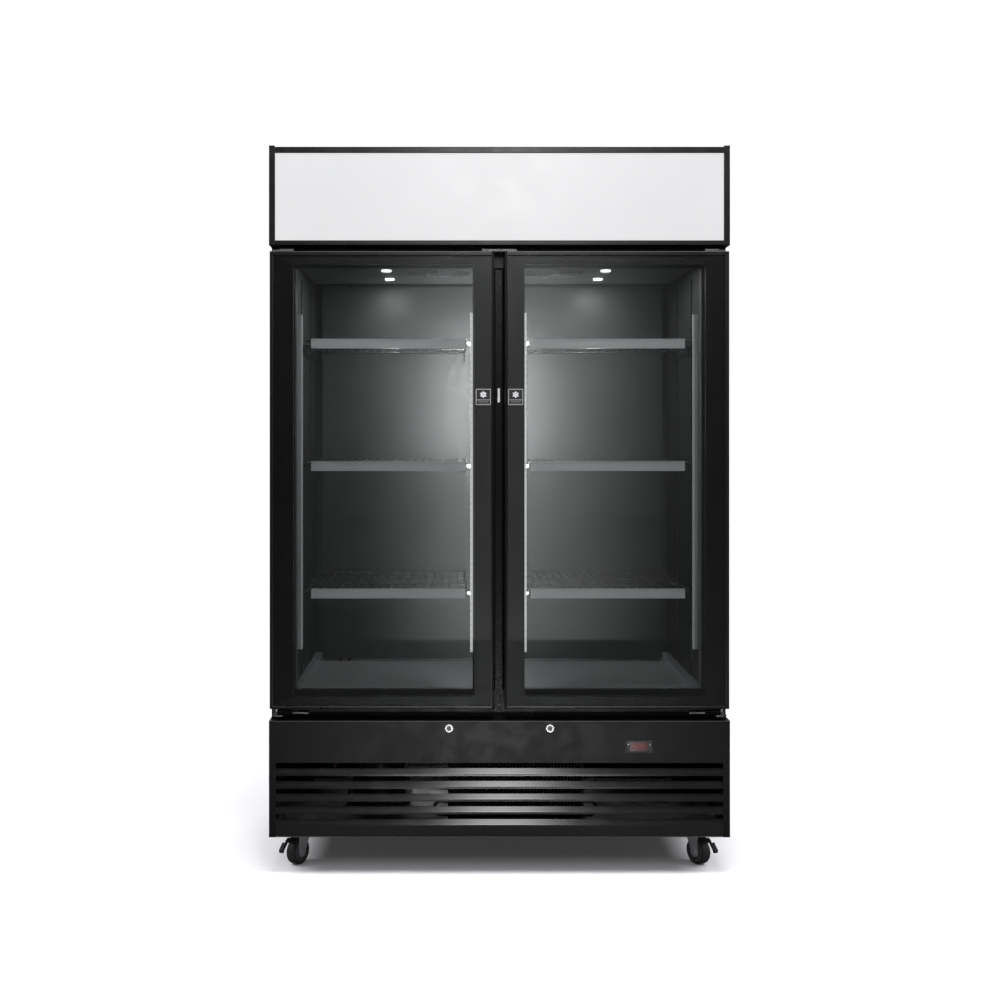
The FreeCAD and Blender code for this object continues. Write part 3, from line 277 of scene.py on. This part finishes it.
def fork_steel():
    """Duller plating of the caster forks."""
    return finish("fork_plating", grey(0.30), grey(0.40), rough=(0.28, 0.42), grain=0.0006,
                  metal=0.55, blotch=0.02)


def louvre_paint():
    """Smooth satin coat of the louvre blades."""
    return finish("louvre_coat", grey(0.004), grey(0.006), rough=(0.13, 0.16), grain=0.0016,
                  depth=0.0, Specular_IOR_Level=0.5, Coat_Weight=0.6, Coat_Roughness=0.14)


def coated_wire():
    """Epoxy-dipped shelf wire."""
    return finish("wire_coating", grey(0.016), grey(0.024), rough=(0.28, 0.36), grain=0.0015,
                  blotch=0.02, Coat_Weight=0.3, Coat_Roughness=0.2)


def rail_plastic():
    """Grey extruded ticket rail with its draw lines."""
    return finish("rail_plastic", grey(0.58), grey(0.66), rough=(0.30, 0.40), grain=0.0007,
                  stretch=(60, 1, 1), Coat_Weight=0.4, Coat_Roughness=0.15)


FIN_PITCH = 0.0042
FIN_DEPTH = 0.0006      # of the bump that stands for the gaps between the fins


def fin_aluminium():
    """A stack of thin bright fins, with painted shade in the gaps between them."""
    recipe = finish("coil_fins", grey(0.45), grey(0.66), rough=(0.35, 0.5), grain=0.001,
                    metal=1.0, blotch=0.02)
    fins = recipe.waves("X", FIN_PITCH)
    lit = recipe.spread(fins, 0, 1, start=-0.6, end=0.2)
    # painted shade: the gaps between the fins are coloured dark grey
    recipe.set(Base_Color=recipe.tint(lit, grey(0.10), grey(0.68)),
               Normal=recipe.bump(fins, FIN_DEPTH))
    return recipe


def black_and_shaded_fins():
    """The condenser's black enamelled fins."""
    # black enamel, made this dark partly as painted shade behind the louvre gaps
    recipe = finish("condenser_fins", grey(0.006), grey(0.010), rough=(0.55, 0.7), grain=0.001,
                    blotch=0.02, Specular_IOR_Level=0.2)
    recipe.set(Normal=recipe.bump(recipe.waves("X", FIN_PITCH), FIN_DEPTH))
    return recipe


def motor_paint():
    """Grey enamel of the fan motors."""
    return finish("motor_enamel", grey(0.05), grey(0.07), rough=(0.3, 0.45), grain=0.002,
                  blotch=0.05)


def fan_plastic():
    """Dark nylon of the fan blades."""
    return finish("fan_nylon", grey(0.035), grey(0.05), rough=(0.42, 0.55), grain=0.0008,
                  blotch=0.05)


def galvanised():
    """Galvanised sheet with its spangle."""
    recipe = finish("galvanised_sheet", grey(0.4), grey(0.5), rough=(0.32, 0.5), grain=0.001,
                    metal=1.0)
    inputs = {"Vector": recipe.place, "Scale": 1 / 0.018}
    spangle = recipe.add("ShaderNodeTexVoronoi", inputs).outputs["Color"]
    cell = recipe.add("ShaderNodeSeparateColor", {"Color": spangle}).outputs["Red"]
    recipe.set(Base_Color=recipe.tint(cell, grey(0.34), grey(0.56)),
               Roughness=recipe.between(cell, 0.3, 0.48))
    return recipe


def compressor_paint():
    """Thick black enamel of the compressor's shell."""
    return finish("compressor_enamel", grey(0.014), grey(0.02), rough=(0.2, 0.34), grain=0.003,
                  blotch=0.08, depth=0.00008)


def copper():
    """Drawn tube, dulled in patches, in black foam sleeves above the base and by the condenser."""
    dull, bright, sleeve_black = (0.42, 0.19, 0.11), (0.80, 0.40, 0.26), (0.008, 0.008, 0.008)
    recipe = finish("copper_tube", dull, bright, rough=(0.22, 0.42), grain=0.001, metal=1.0)
    worn = recipe.tint(recipe.noise(0.03), dull, bright)
    high = recipe.above(recipe.axis("Z"), 0.46, 0.462)
    near = recipe.below(recipe.axis("Y"), -0.151, -0.150)
    sleeve = recipe.math("MAXIMUM", high, near)
    recipe.set(Base_Color=recipe.tint(sleeve, worn, sleeve_black),
               Metallic=recipe.between(sleeve, 1.0, 0.0))
    return recipe


def black_plastic():
    """Fine-grained moulded plastic."""
    return finish("moulded_black", grey(0.014), grey(0.02), rough=(0.34, 0.44), grain=0.0005,
                  blotch=0.04, depth=0.00004)


def display():
    """Red tinted window."""
    return finish("display_window", (0.035, 0.003, 0.005), (0.050, 0.005, 0.007),
                  rough=(0.08, 0.16), grain=0.002, blotch=0.01,
                  Emission_Color=(1.0, 0.03, 0.05, 1.0), Emission_Strength=0.004,
                  Coat_Weight=0.5, Coat_Roughness=0.05)


def key_plastic():
    """Soft rubber of the thermostat's keys."""
    return finish("key_rubber", grey(0.03), grey(0.04), rough=(0.5, 0.6), grain=0.0004,
                  blotch=0.003)


def dark_steel():
    """Satin steel of the lock plugs and of the keyway faces."""
    return finish("plug_steel", grey(0.10), grey(0.14), rough=(0.3, 0.42), grain=0.0004,
                  blotch=0.004, Specular_IOR_Level=0.2)


def ceiling_with_painted_light():
    """The ceiling's grey coat, made lighter than the liner as painted light of the lamps on it."""
    # painted light: lighter grey standing for the lamp light on the ceiling
    return finish("ceiling_with_painted_light", grey(0.15), grey(0.17), rough=(0.42, 0.50), grain=0.0012,
                  blotch=0.12, depth=0.000008, Specular_IOR_Level=0.4)


def chrome_lock():
    """Chromed zinc casting with fine handling marks."""
    return finish("lock_chrome", grey(0.28), grey(0.36), rough=(0.2, 0.3), grain=0.0005,
                  metal=1.0, blotch=0.006)


GLASS_IOR = 1.45


def pane():
    """Thin clear glass: what is behind it, and the reflection of the glass over that."""
    recipe = Recipe("clear_pane")
    smear = recipe.spread(recipe.noise(0.35, detail=5.0), 0.0, 0.012)
    gloss = recipe.add("ShaderNodeFresnel", {"IOR": GLASS_IOR}).outputs["Fac"]
    clear = recipe.add("ShaderNodeBsdfTransparent", {"Color": (0.955, 0.965, 0.962, 1.0)})
    mirror = recipe.add("ShaderNodeBsdfGlossy", {"Color": (1, 1, 1, 1), "Roughness": 0.02})
    both = recipe.add("ShaderNodeMixShader", {
        "Fac": recipe.math("ADD", gloss, smear),
        1: clear.outputs["BSDF"],
        2: mirror.outputs["BSDF"],
    })
    output = recipe.tree.nodes["Material Output"]
    recipe.feed(output.inputs["Surface"], both.outputs["Shader"])
    recipe.tree.nodes.remove(recipe.shader)
    return recipe


def printed_border():
    """Black ceramic print behind the glass."""
    return finish("ceramic_print", grey(0.006), grey(0.009), rough=(0.3, 0.36), grain=0.001,
                  depth=0.0, Specular_IOR_Level=0.3)


def gasket_rubber():
    """Black vinyl of the door seals."""
    return finish("gasket_vinyl", grey(0.016), grey(0.022), rough=(0.5, 0.62), grain=0.0007,
                  blotch=0.04)


def wheel_rubber(name="tyre_rubber"):
    """Black rubber of a wheel's tread."""
    return finish(name, grey(0.010), grey(0.016), rough=(0.45, 0.62), grain=0.0009,
                  blotch=0.01, depth=0.00006)


HUB_RADIUS = 0.030      # of a wheel's plastic centre
HUB_EDGE = 0.0003       # width of the change from hub to tread


def whole_wheel(corner):
    """Rubber tread round a grey nylon hub, told apart by the distance from the axle."""
    name = "wheel_" + corner
    axle = next(joint for joint in frame["joints"] if joint["name"] == name + "_roll")
    recipe = wheel_rubber(name)
    arm = recipe.vector("SUBTRACT", "Vector", recipe.place, axle["pos_m"])
    side = recipe.vector("CROSS_PRODUCT", "Vector", arm, axle["axis"])
    reach = recipe.vector("LENGTH", "Value", side)
    hub = recipe.below(reach, HUB_RADIUS - HUB_EDGE, HUB_RADIUS)
    recipe.set(Base_Color=recipe.tint(hub, grey(0.013), grey(0.055)),
               Roughness=recipe.between(hub, 0.55, 0.35))
    return recipe


def pedal_paint():
    """Matt black of the brake pedals."""
    return finish("pedal_enamel", grey(0.010), grey(0.016), rough=(0.6, 0.7), grain=0.001,
                  blotch=0.01, Specular_IOR_Level=0.2)


# Named after the record's material slots.
SLOT_MAKERS = [
    outer_paint, inner_paint, door_profile, sign_profile, sign_acrylic, lamp_diffuser, foam,
    zinc_plate, coated_wire, rail_plastic, fin_aluminium, motor_paint, fan_plastic, galvanised,
    compressor_paint, copper, black_plastic, display, key_plastic, chrome_lock, pane,
    printed_border, gasket_rubber, wheel_rubber, pedal_paint,
]
# Nodes whose look differs from the rest of their slot.
NODE_MAKERS = {
    "condenser_coil": black_and_shaded_fins,
    "mullion_fittings": bracket_steel,
    "evaporator_cover": ceiling_with_painted_light,
    "lock_plug_left": dark_steel,
    "lock_plug_right": dark_steel,
    "shelf_clips": clip_steel,
    "inner_liner": liner_shell,
    "hinge_brackets": hinge_steel,
    "mullion": recess_paint,
    "louvre_grille": louvre_paint,
}


def dress_frame():
    """Gives every CAD node the node material of its slot in the record, or one of its own."""
    materials = {maker.__name__: maker().material for maker in SLOT_MAKERS}
    for part in frame["record"]["subparts"]:
        for slot in NODES[part["node"]].material_slots:
            slot.material = materials[part["material_slot"]]
    for node, maker in NODE_MAKERS.items():
        NODES[node].material_slots[0].material = maker().material
    fork = fork_steel().material
    for corner in CORNERS:
        NODES["caster_fork_" + corner].material_slots[0].material = fork
        NODES["caster_wheel_" + corner].material_slots[0].material = whole_wheel(corner).material


# ---------------------------------------------------------------- shapes
def finished(name, mesh, materials, body):
    """Puts a bmesh into the scene as one piece that rides a body."""
    data = bpy.data.meshes.new(name)
    bmesh.ops.remove_doubles(mesh, verts=mesh.verts, dist=1e-7)
    bmesh.ops.recalc_face_normals(mesh, faces=mesh.faces)
    mesh.to_mesh(data)
    mesh.free()
    for material in materials:
        data.materials.append(material)
    piece = bpy.data.objects.new(name, data)
    bpy.context.scene.collection.objects.link(piece)
    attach(piece, body)
    return piece


def on_front(x, y, z):
    """The place of a flat piece that faces -Y."""
    return Matrix.Translation((x, y, z)) @ FACING_FRONT


def bridge(mesh, lower, upper):
    """Faces between two closed rings; they are triangles where one ring is a single point."""
    faces = []
    for i in range(len(lower)):
        j = (i + 1) % len(lower)
        corners = dict.fromkeys((lower[i], lower[j], upper[j], upper[i]))
        faces.append(mesh.faces.new(list(corners)))
    return faces


def rectangle(centre, size, radius=0.0):
    """Corners of a rectangle, each rounded by an arc when a radius is given."""
    (x, y), (wide, high) = centre, size
    if not radius:
        corners = ((-1, -1), (1, -1), (1, 1), (-1, 1))
        return [(x + i * wide / 2, y + j * high / 2) for i, j in corners]
    points = []
    for quarter, (i, j) in enumerate(((1, 1), (-1, 1), (-1, -1), (1, -1))):
        for step in range(5):
            angle = math.radians(90 * quarter + 22.5 * step)
            points.append((x + i * (wide / 2 - radius) + radius * math.cos(angle),
                           y + j * (high / 2 - radius) + radius * math.sin(angle)))
    return points


def add_slab(mesh, outline, thick, place, material=0):
    """A flat plate from an outline on XY, raised by thick, with its upper edge chamfered."""
    edge = thick * 0.3
    middle = sum((Vector(point) for point in outline), Vector((0, 0))) / len(outline)
    rings = []
    for height, inset in ((0.0, 0.0), (thick - edge, 0.0), (thick, edge)):
        ring = []
        for point in outline:
            point = Vector(point)
            point -= (point - middle).normalized() * inset
            ring.append(mesh.verts.new(place @ Vector((point.x, point.y, height))))
        rings.append(ring)
    faces = [mesh.faces.new(rings[0]), mesh.faces.new(rings[-1])]
    for lower, upper in zip(rings, rings[1:]):
        faces += bridge(mesh, lower, upper)
    for face in faces:
        face.material_index = material


def turned(mesh, radius, height, place, count):
    """A ring of points about the Z axis of the place."""
    ring = []
    for i in range(count):
        angle = 2 * math.pi * i / count
        point = Vector((radius * math.cos(angle), radius * math.sin(angle), height))
        ring.append(mesh.verts.new(place @ point))
    return ring


def lathe(mesh, profile, place, count):
    """Turns (radius, height) points about the Z axis of the place; an end may be on the axis."""
    rings = []
    for radius, height in profile:
        if radius:
            rings.append(turned(mesh, radius, height, place, count))
        else:
            rings.append([mesh.verts.new(place @ Vector((0, 0, height)))] * count)
    for lower, upper in zip(rings, rings[1:]):
        for face in bridge(mesh, lower, upper):
            face.smooth = True


SCREW_SINK = 0.0004     # how far a screw's head goes into its plate


def add_screw(mesh, place, radius):
    """Pan head with a hexagon socket."""
    high = radius * 0.55
    socket = radius * 0.42
    angles = [math.radians(15 * i) for i in range(5)]
    dome = [(radius * math.cos(a), high * math.sin(a)) for a in angles]
    head = [(0, -SCREW_SINK), (radius, -SCREW_SINK)] + dome + [(socket, high)]
    lathe(mesh, head, place, 24)
    lathe(mesh, [(socket, high), (socket, high * 0.35), (0, high * 0.3)], place, 6)


# ---------------------------------------------------------------- small fittings
def ink(name, level):
    """Printed ink."""
    return finish(name, grey(level * 0.9), grey(level * 1.05), rough=(0.3, 0.4), grain=0.0004,
                  blotch=0.006, depth=0.0).material


LABEL_X = 0.047             # middle of a label from the middle of the cabinet
LABEL_Z = 1.389
LABEL_SIZE = (0.044, 0.047)
LABEL_THICK = 0.0003
LABEL_GAP = LABEL_THICK * 0.1
FIELD_WIDE = LABEL_SIZE[0] - 0.005      # of the two dark fields on a label
PICTURE_Y, PICTURE_HIGH = 0.0068, 0.0284
BAND_Y, BAND_HIGH = -0.0153, 0.0114
FIELD_THICK = 0.00008
INK_THICK = 0.00006
STAR_ARM = (0.019, 0.0030)
STAR_TIP = (0.0022, 0.0070)
STAR_TIP_X = 0.0060
STAR_TIP_THICK = 0.00007
DASH_ROWS = (-0.0022, 0.0022)
DASH_COUNT, DASH_START, DASH_PITCH = 7, -0.0126, 0.0042
DASH_SIZE = (0.0026, 0.0014)


def door_label(side):
    """Printed sticker on the glass: a pale outline round a six-armed star and two dash rows."""
    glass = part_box("door_glass_" + side)
    place = on_front(SIDES[side] * LABEL_X, glass[0].y - LABEL_GAP, LABEL_Z)
    mesh = bmesh.new()
    add_slab(mesh, rectangle((0, 0), LABEL_SIZE, radius=0.002), LABEL_THICK, place)
    over = place @ Matrix.Translation((0, 0, LABEL_THICK))
    for y, high in ((PICTURE_Y, PICTURE_HIGH), (BAND_Y, BAND_HIGH)):
        field = rectangle((0, y), (FIELD_WIDE, high), radius=0.001)
        add_slab(mesh, field, FIELD_THICK, over, material=1)
    star = over @ Matrix.Translation((0, PICTURE_Y, FIELD_THICK))
    for turn in (0, 60, 120):
        arm = star @ Matrix.Rotation(math.radians(turn + 90), 4, "Z")
        add_slab(mesh, rectangle((0, 0), STAR_ARM), INK_THICK, arm, material=2)
        for end in (-STAR_TIP_X, STAR_TIP_X):
            add_slab(mesh, rectangle((end, 0), STAR_TIP), STAR_TIP_THICK, arm, material=2)
    band = place @ Matrix.Translation((0, BAND_Y, LABEL_THICK + FIELD_THICK))
    for row in DASH_ROWS:
        for i in range(DASH_COUNT):
            dash = rectangle((DASH_START + DASH_PITCH * i, row), DASH_SIZE)
            add_slab(mesh, dash, INK_THICK, band)
    materials = [ink("label_pale", 0.34), ink("label_dark", 0.012), ink("label_white", 0.9)]
    finished("door_label_" + side, mesh, materials, "door_" + side)


BIG_SCREW, SMALL_SCREW = 0.0045, 0.0035     # radii of the heads
SCREW_INSET = 0.02                          # from the edge of a sheet
ROOF_SCREW_COUNT, ROOF_SCREW_START, ROOF_SCREW_PITCH = 7, -0.60, 0.20
ROOF_SIDE_SCREWS = (-0.16, 0.02, 0.20)


def roof_screws():
    """Screws along the edges of the roof, and on the top of the sign box."""
    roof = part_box("cabinet_casing")[1]
    sign_low, sign_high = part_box("sign_housing")
    mesh = bmesh.new()
    for i in range(ROOF_SCREW_COUNT):
        x = ROOF_SCREW_START + ROOF_SCREW_PITCH * i
        on_roof = Matrix.Translation((x, roof.y - SCREW_INSET, roof.z))
        on_sign = Matrix.Translation((x, sign_low.y + SCREW_INSET, sign_high.z))
        add_screw(mesh, on_roof, BIG_SCREW)
        add_screw(mesh, on_sign, SMALL_SCREW)
    for side in SIDES.values():
        for y in ROOF_SIDE_SCREWS:
            place = Matrix.Translation((side * (roof.x - SCREW_INSET), y, roof.z))
            add_screw(mesh, place, BIG_SCREW)
    finished("roof_screws", mesh, [zinc_plate().material], "cabinet")


HINGE_SCREWS_X = (0.575, 0.592)
HINGE_SCREWS_Y = -0.327
HINGE_PLATE_Z = 0.463       # top of the lower hinge plates


def hinge_screws():
    """Bolt heads on the lower hinge plates."""
    mesh = bmesh.new()
    for side in SIDES.values():
        for x in HINGE_SCREWS_X:
            place = Matrix.Translation((side * x, HINGE_SCREWS_Y, HINGE_PLATE_Z))
            add_screw(mesh, place, SMALL_SCREW)
    finished("hinge_screws", mesh, [zinc_plate().material], "cabinet")


STRIP_WALL = 0.6045         # where a breaker strip meets the liner's side wall
STRIP_FACE = 0.6000         # its inner face
STRIP_GROOVE = 0.6008       # the bottom of its grooves
STRIP_DEEP = 0.030          # from the face frame towards the back
GROOVE_COUNT, GROOVE_START, GROOVE_PITCH = 4, 0.004, 0.007


def strip_outline(front):
    """Section of the grooved strip on the right, seen from above, with its edges chamfered."""
    back = front + STRIP_DEEP
    outline = [(STRIP_WALL, front), (0.6005, front), (STRIP_FACE, front + 0.002)]
    for i in range(GROOVE_COUNT):
        y = front + GROOVE_START + GROOVE_PITCH * i
        outline += [(STRIP_FACE, y), (STRIP_GROOVE, y + 0.001),
                    (STRIP_GROOVE, y + 0.003), (STRIP_FACE, y + 0.004)]
    return outline + [(STRIP_FACE, back - 0.001), (0.6010, back), (STRIP_WALL, back)]


def breaker_strips():
    """Pale plastic strips that close the gap between the face frame and the liner's sides."""
    outline = strip_outline(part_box("face_frame")[1].y)
    bottom, top = (corner.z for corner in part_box("mullion"))
    for name, side in SIDES.items():
        mesh = bmesh.new()
        low = [mesh.verts.new((side * x, y, bottom)) for x, y in outline]
        high = [mesh.verts.new((side * x, y, top)) for x, y in outline]
        bridge(mesh, low, high)
        mesh.faces.new(low)
        mesh.faces.new(high)
        pale = finish("breaker_plastic_" + name, grey(0.16), grey(0.19), rough=(0.3, 0.4),
                      grain=0.0008, stretch=(1, 1, 30))
        finished("breaker_strip_" + name, mesh, [pale.material], "cabinet")


MARK_SINK = 0.00005         # how far the back of a mark goes into the face under it
KEY_MARK_REACH = 0.0016     # from the middle of a mark to its sides
KEY_MARK_THICK = 0.0002
KEY_MARK_UP = 0.006         # from the middle of a key


def key_marks():
    """A raised triangle on each thermostat key."""
    reach = KEY_MARK_REACH
    for name, side in SIDES.items():
        low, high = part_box("thermostat_key_" + name)
        middle = (low + high) / 2
        mesh = bmesh.new()
        points = [(-reach, -side * reach), (reach, -side * reach), (0, side * reach)]
        place = on_front(middle.x, low.y + MARK_SINK, middle.z + KEY_MARK_UP)
        add_slab(mesh, points, KEY_MARK_THICK, place)
        white = ink("key_mark_" + name, 0.9)
        finished("key_mark_" + name, mesh, [white], "key_" + name)


# Places of the seven segments, in half digit widths across and half heights up, and their turn.
SEGMENTS = [
    (0, 1, 0), (0, 0, 0), (0, -1, 0),
    (-1, 0.5, 90), (1, 0.5, 90), (-1, -0.5, 90), (1, -0.5, 90),
]
DIGIT_HALF = 0.0034         # half of a digit's width
DIGIT_TALL = 0.0130
DIGIT_PITCH = 0.0135
SEGMENT_HALF = 0.0007       # half of a segment's width
SEGMENT_THICK = 0.00015
SEGMENT_FILL = 0.92         # leaves a gap between the segments


def display_digits():
    """Three unlit seven-segment digits on the red window."""
    low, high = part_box("thermostat_window")
    middle = (low + high) / 2
    mesh = bmesh.new()
    end, shoulder, slim = DIGIT_HALF, DIGIT_HALF - SEGMENT_HALF, SEGMENT_HALF
    bar = [(-end, 0), (-shoulder, slim), (shoulder, slim),
           (end, 0), (shoulder, -slim), (-shoulder, -slim)]
    gap = Matrix.Scale(SEGMENT_FILL, 4, (1, 0, 0))
    level = Matrix.Identity(4)
    upright = Matrix.Scale(DIGIT_TALL / 2 / (2 * DIGIT_HALF), 4, (1, 0, 0))
    for digit in (-1, 0, 1):
        for across, up, turn in SEGMENTS:
            x = middle.x + DIGIT_PITCH * digit + across * DIGIT_HALF
            place = on_front(x, low.y + MARK_SINK, middle.z + up * DIGIT_TALL / 2)
            turned_bar = Matrix.Rotation(math.radians(turn), 4, "Z")
            length = upright if turn else level
            add_slab(mesh, bar, SEGMENT_THICK, place @ turned_bar @ length @ gap)
    unlit = finish("digit_unlit", (0.16, 0.02, 0.025), (0.2, 0.025, 0.03), rough=(0.2, 0.3),
                   grain=0.0005, blotch=0.004)
    finished("display_digits", mesh, [unlit.material], "cabinet")


INLET = (0.490, 0.388, 0.250)       # middle of the cable inlet, on the back
BUSH_PROFILE = [(0.0049, -0.0060), (0.0049, -0.0006), (0.0052, -0.0001),
                (0.0070, -0.0001), (0.0078, -0.0008)]
BUSH_COUNT = 40


def inlet_bush():
    """Moulded collar inside the cable inlet."""
    mesh = bmesh.new()
    place = on_front(*INLET) @ Matrix.Rotation(math.pi, 4, "X")
    rings = [turned(mesh, radius, height, place, BUSH_COUNT) for radius, height in BUSH_PROFILE]
    for lower, upper in zip(rings, rings[1:] + rings[:1]):
        bridge(mesh, lower, upper)
    finished("inlet_bush", mesh, [gasket_rubber().material], "cabinet")


def fittings():
    """All the pieces that the CAD model doesn't have."""
    for side in SIDES:
        door_label(side)
    roof_screws()
    hinge_screws()
    breaker_strips()
    key_marks()
    display_digits()
    inlet_bush()


# ---------------------------------------------------------------- floor, lights, camera
FLOOR_HALF = 2.0
FLOOR_FADE = (1.1, 1.9)     # distances from the middle between which the floor thins out


def floor():
    """A pale floor that thins out into the white backdrop, and is dark in reflections."""
    recipe = finish("studio_floor", grey(0.84), grey(0.87), rough=(0.7, 0.85), grain=0.02,
                    blotch=1.0, depth=0.0001)
    distance = recipe.vector("LENGTH", "Value", recipe.place)
    mirrored = recipe.add("ShaderNodeLightPath").outputs["Is Glossy Ray"]
    recipe.set(Base_Color=recipe.tint(mirrored, grey(0.86), grey(0.02)),
               Alpha=recipe.below(distance, *FLOOR_FADE))
    recipe.set(Emission_Color=(1, 1, 1, 1), Emission_Strength=0.025)
    mesh = bpy.data.meshes.new("studio_floor")
    half = FLOOR_HALF
    corners = [(-half, -half, 0), (half, -half, 0), (half, half, 0), (-half, half, 0)]
    mesh.from_pydata(corners, [], [(0, 1, 2, 3)])
    mesh.materials.append(recipe.material)
    plane = bpy.data.objects.new("studio_floor", mesh)
    bpy.context.scene.collection.objects.link(plane)


def backdrop():
    """White where the camera looks past the object, dim where the object is lit by it."""
    world = bpy.data.worlds.new("studio")
    world.use_nodes = True
    bpy.context.scene.world = world
    nodes = world.node_tree.nodes
    links = world.node_tree.links
    nodes.clear()
    path = nodes.new("ShaderNodeLightPath")
    mix = nodes.new("ShaderNodeMixShader")
    output = nodes.new("ShaderNodeOutputWorld")
    dim, white = ((0.95, 0.97, 1.0, 1), 0.06), ((1, 1, 1, 1), 1.05)
    for number, (colour, strength) in enumerate((dim, white), start=1):
        glow = nodes.new("ShaderNodeBackground")
        glow.inputs["Color"].default_value = colour
        glow.inputs["Strength"].default_value = strength
        links.new(glow.outputs["Background"], mix.inputs[number])
    links.new(path.outputs["Is Camera Ray"], mix.inputs["Fac"])
    links.new(mix.outputs["Shader"], output.inputs["Surface"])


def feather(data):
    """Lets a lamp fade from its middle line to its two side edges."""
    middle = 0.5
    data.use_nodes = True
    nodes = data.node_tree.nodes
    links = data.node_tree.links
    place = nodes.new("ShaderNodeNewGeometry")
    across = nodes.new("ShaderNodeSeparateXYZ")
    away = nodes.new("ShaderNodeMath")
    away.operation = "SUBTRACT"
    away.inputs[1].default_value = middle
    distance = nodes.new("ShaderNodeMath")
    distance.operation = "ABSOLUTE"
    fade = nodes.new("ShaderNodeMapRange")
    fade.interpolation_type = "SMOOTHERSTEP"
    fade.inputs["From Max"].default_value = middle
    fade.inputs["To Min"].default_value = 1.0
    fade.inputs["To Max"].default_value = 0.0
    links.new(place.outputs["Parametric"], across.inputs["Vector"])
    links.new(across.outputs["X"], away.inputs[0])
    links.new(away.outputs["Value"], distance.inputs[0])
    links.new(distance.outputs["Value"], fade.inputs["Value"])
    links.new(fade.outputs["Result"], nodes["Emission"].inputs["Strength"])


def softbox(name, place, target, size, watts, spread=180):
    """A rectangular lamp that the camera doesn't see, with its spread in degrees."""
    data = bpy.data.lights.new(name, "AREA")
    data.shape = "RECTANGLE"
    data.size, data.size_y = size
    data.energy = watts
    data.spread = math.radians(spread)
    lamp = bpy.data.objects.new(name, data)
    lamp.location = place
    lamp.rotation_euler = (Vector(target) - Vector(place)).to_track_quat("-Z", "Y").to_euler()
    lamp.visible_camera = False
    bpy.context.scene.collection.objects.link(lamp)
    return lamp


# Name: place, target, size, watts.
STUDIO_LAMPS = {
    "top": ((0.2, -1.2, 4.2), (0.1, -0.4, 0), (2.4, 1.6), 110),
    "overhead": ((0.16, -2.45, 3.7), (0.1, -0.38, 0.2), (0.9, 0.9), 17),
    "edge": ((0.16, -3.6, 3.05), (0.1, -0.38, 0.3), (1.0, 1.7), 75),
    "high_left": ((-3.6, -0.6, 3.6), (-1.2, -0.2, 0), (2.4, 2.4), 170),
    "high_right": ((3.6, -0.6, 3.6), (1.2, -0.2, 0), (2.4, 2.4), 170),
    "rear": ((0, 4.2, 3.4), (0, 0.4, 0.8), (3.0, 1.6), 120),
    "front_high": ((0.25, -4.6, 1.58), (0.25, 0, 1.58), (2.3, 3.1), 9),
    "front_low": ((0.155, -4.6, -0.59), (0.155, 0, -0.59), (2.1, 0.28), 35),
}
FEATHERED = ("overhead", "edge", "front_high", "front_low")


def studio_lights():
    """The soft lamps round the object."""
    for name, settings in STUDIO_LAMPS.items():
        lamp = softbox(name, *settings)
        if name in FEATHERED:
            feather(lamp.data)


STRIP_LAMP_X = 0.086        # the lamp strips on the mullion
STRIP_LAMP_Y = -0.262
STRIP_LAMP_SIZE = (0.012, 0.49)
STRIP_LAMP_SPREAD = 100
STRIP_TARGET = (0.12, 0.3)  # X and Y of the point on the back wall that they aim at
STRIP_HALVES = {"upper": (1.42, 3.1), "lower": (0.80, 0.62)}      # middle height and watts
ROUND_LAMP_X = 0.343        # the round lamps in the ceiling
ROUND_LAMPS_Y = (-0.087, 0.132)
ROUND_LAMP_SIZE = (0.03, 0.03)
ROUND_LAMP_WATTS = 1.0
ROUND_LAMP_GAP = 0.007      # under the top of the lamps' box


def cabinet_lights():
    """The light of the lamp strips and of the round ceiling lamps inside."""
    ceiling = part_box("interior_lamps")[1].z - ROUND_LAMP_GAP
    target_x, target_y = STRIP_TARGET
    for name, side in SIDES.items():
        for half, (middle, watts) in STRIP_HALVES.items():
            place = (side * STRIP_LAMP_X, STRIP_LAMP_Y, middle)
            target = (side * target_x, target_y, middle)
            softbox(f"mullion_{half}_{name}", place, target, STRIP_LAMP_SIZE, watts,
                    STRIP_LAMP_SPREAD)
        for y in ROUND_LAMPS_Y:
            x = side * ROUND_LAMP_X
            softbox(f"ceiling_{name}_{y}", (x, y, ceiling), (x, y, 0), ROUND_LAMP_SIZE,
                    ROUND_LAMP_WATTS)


EYE = (-0.14, -4.182, 1.27)     # level, and a little left of the middle, as in the photograph
FOCAL_MM = 47.10
SENSOR_MM = 36.0
LENS_SHIFT = (0.0487, -0.0621)  # the photograph's framing


def camera():
    """The photograph's viewpoint."""
    data = bpy.data.cameras.new("camera")
    data.lens = FOCAL_MM
    data.sensor_width = SENSOR_MM
    data.shift_x, data.shift_y = LENS_SHIFT
    eye = bpy.data.objects.new("camera", data)
    eye.location = EYE
    eye.rotation_euler = (math.radians(90), 0, 0)
    bpy.context.scene.collection.objects.link(eye)
    bpy.context.scene.camera = eye


def main():
    """The whole scene around the frame."""
    dress_frame()
    fittings()
    floor()
    backdrop()
    studio_lights()
    cabinet_lights()
    camera()
    scene = bpy.context.scene
    scene.view_settings.view_transform = "Standard"
    scene.cycles.transparent_max_bounces = 24


main()
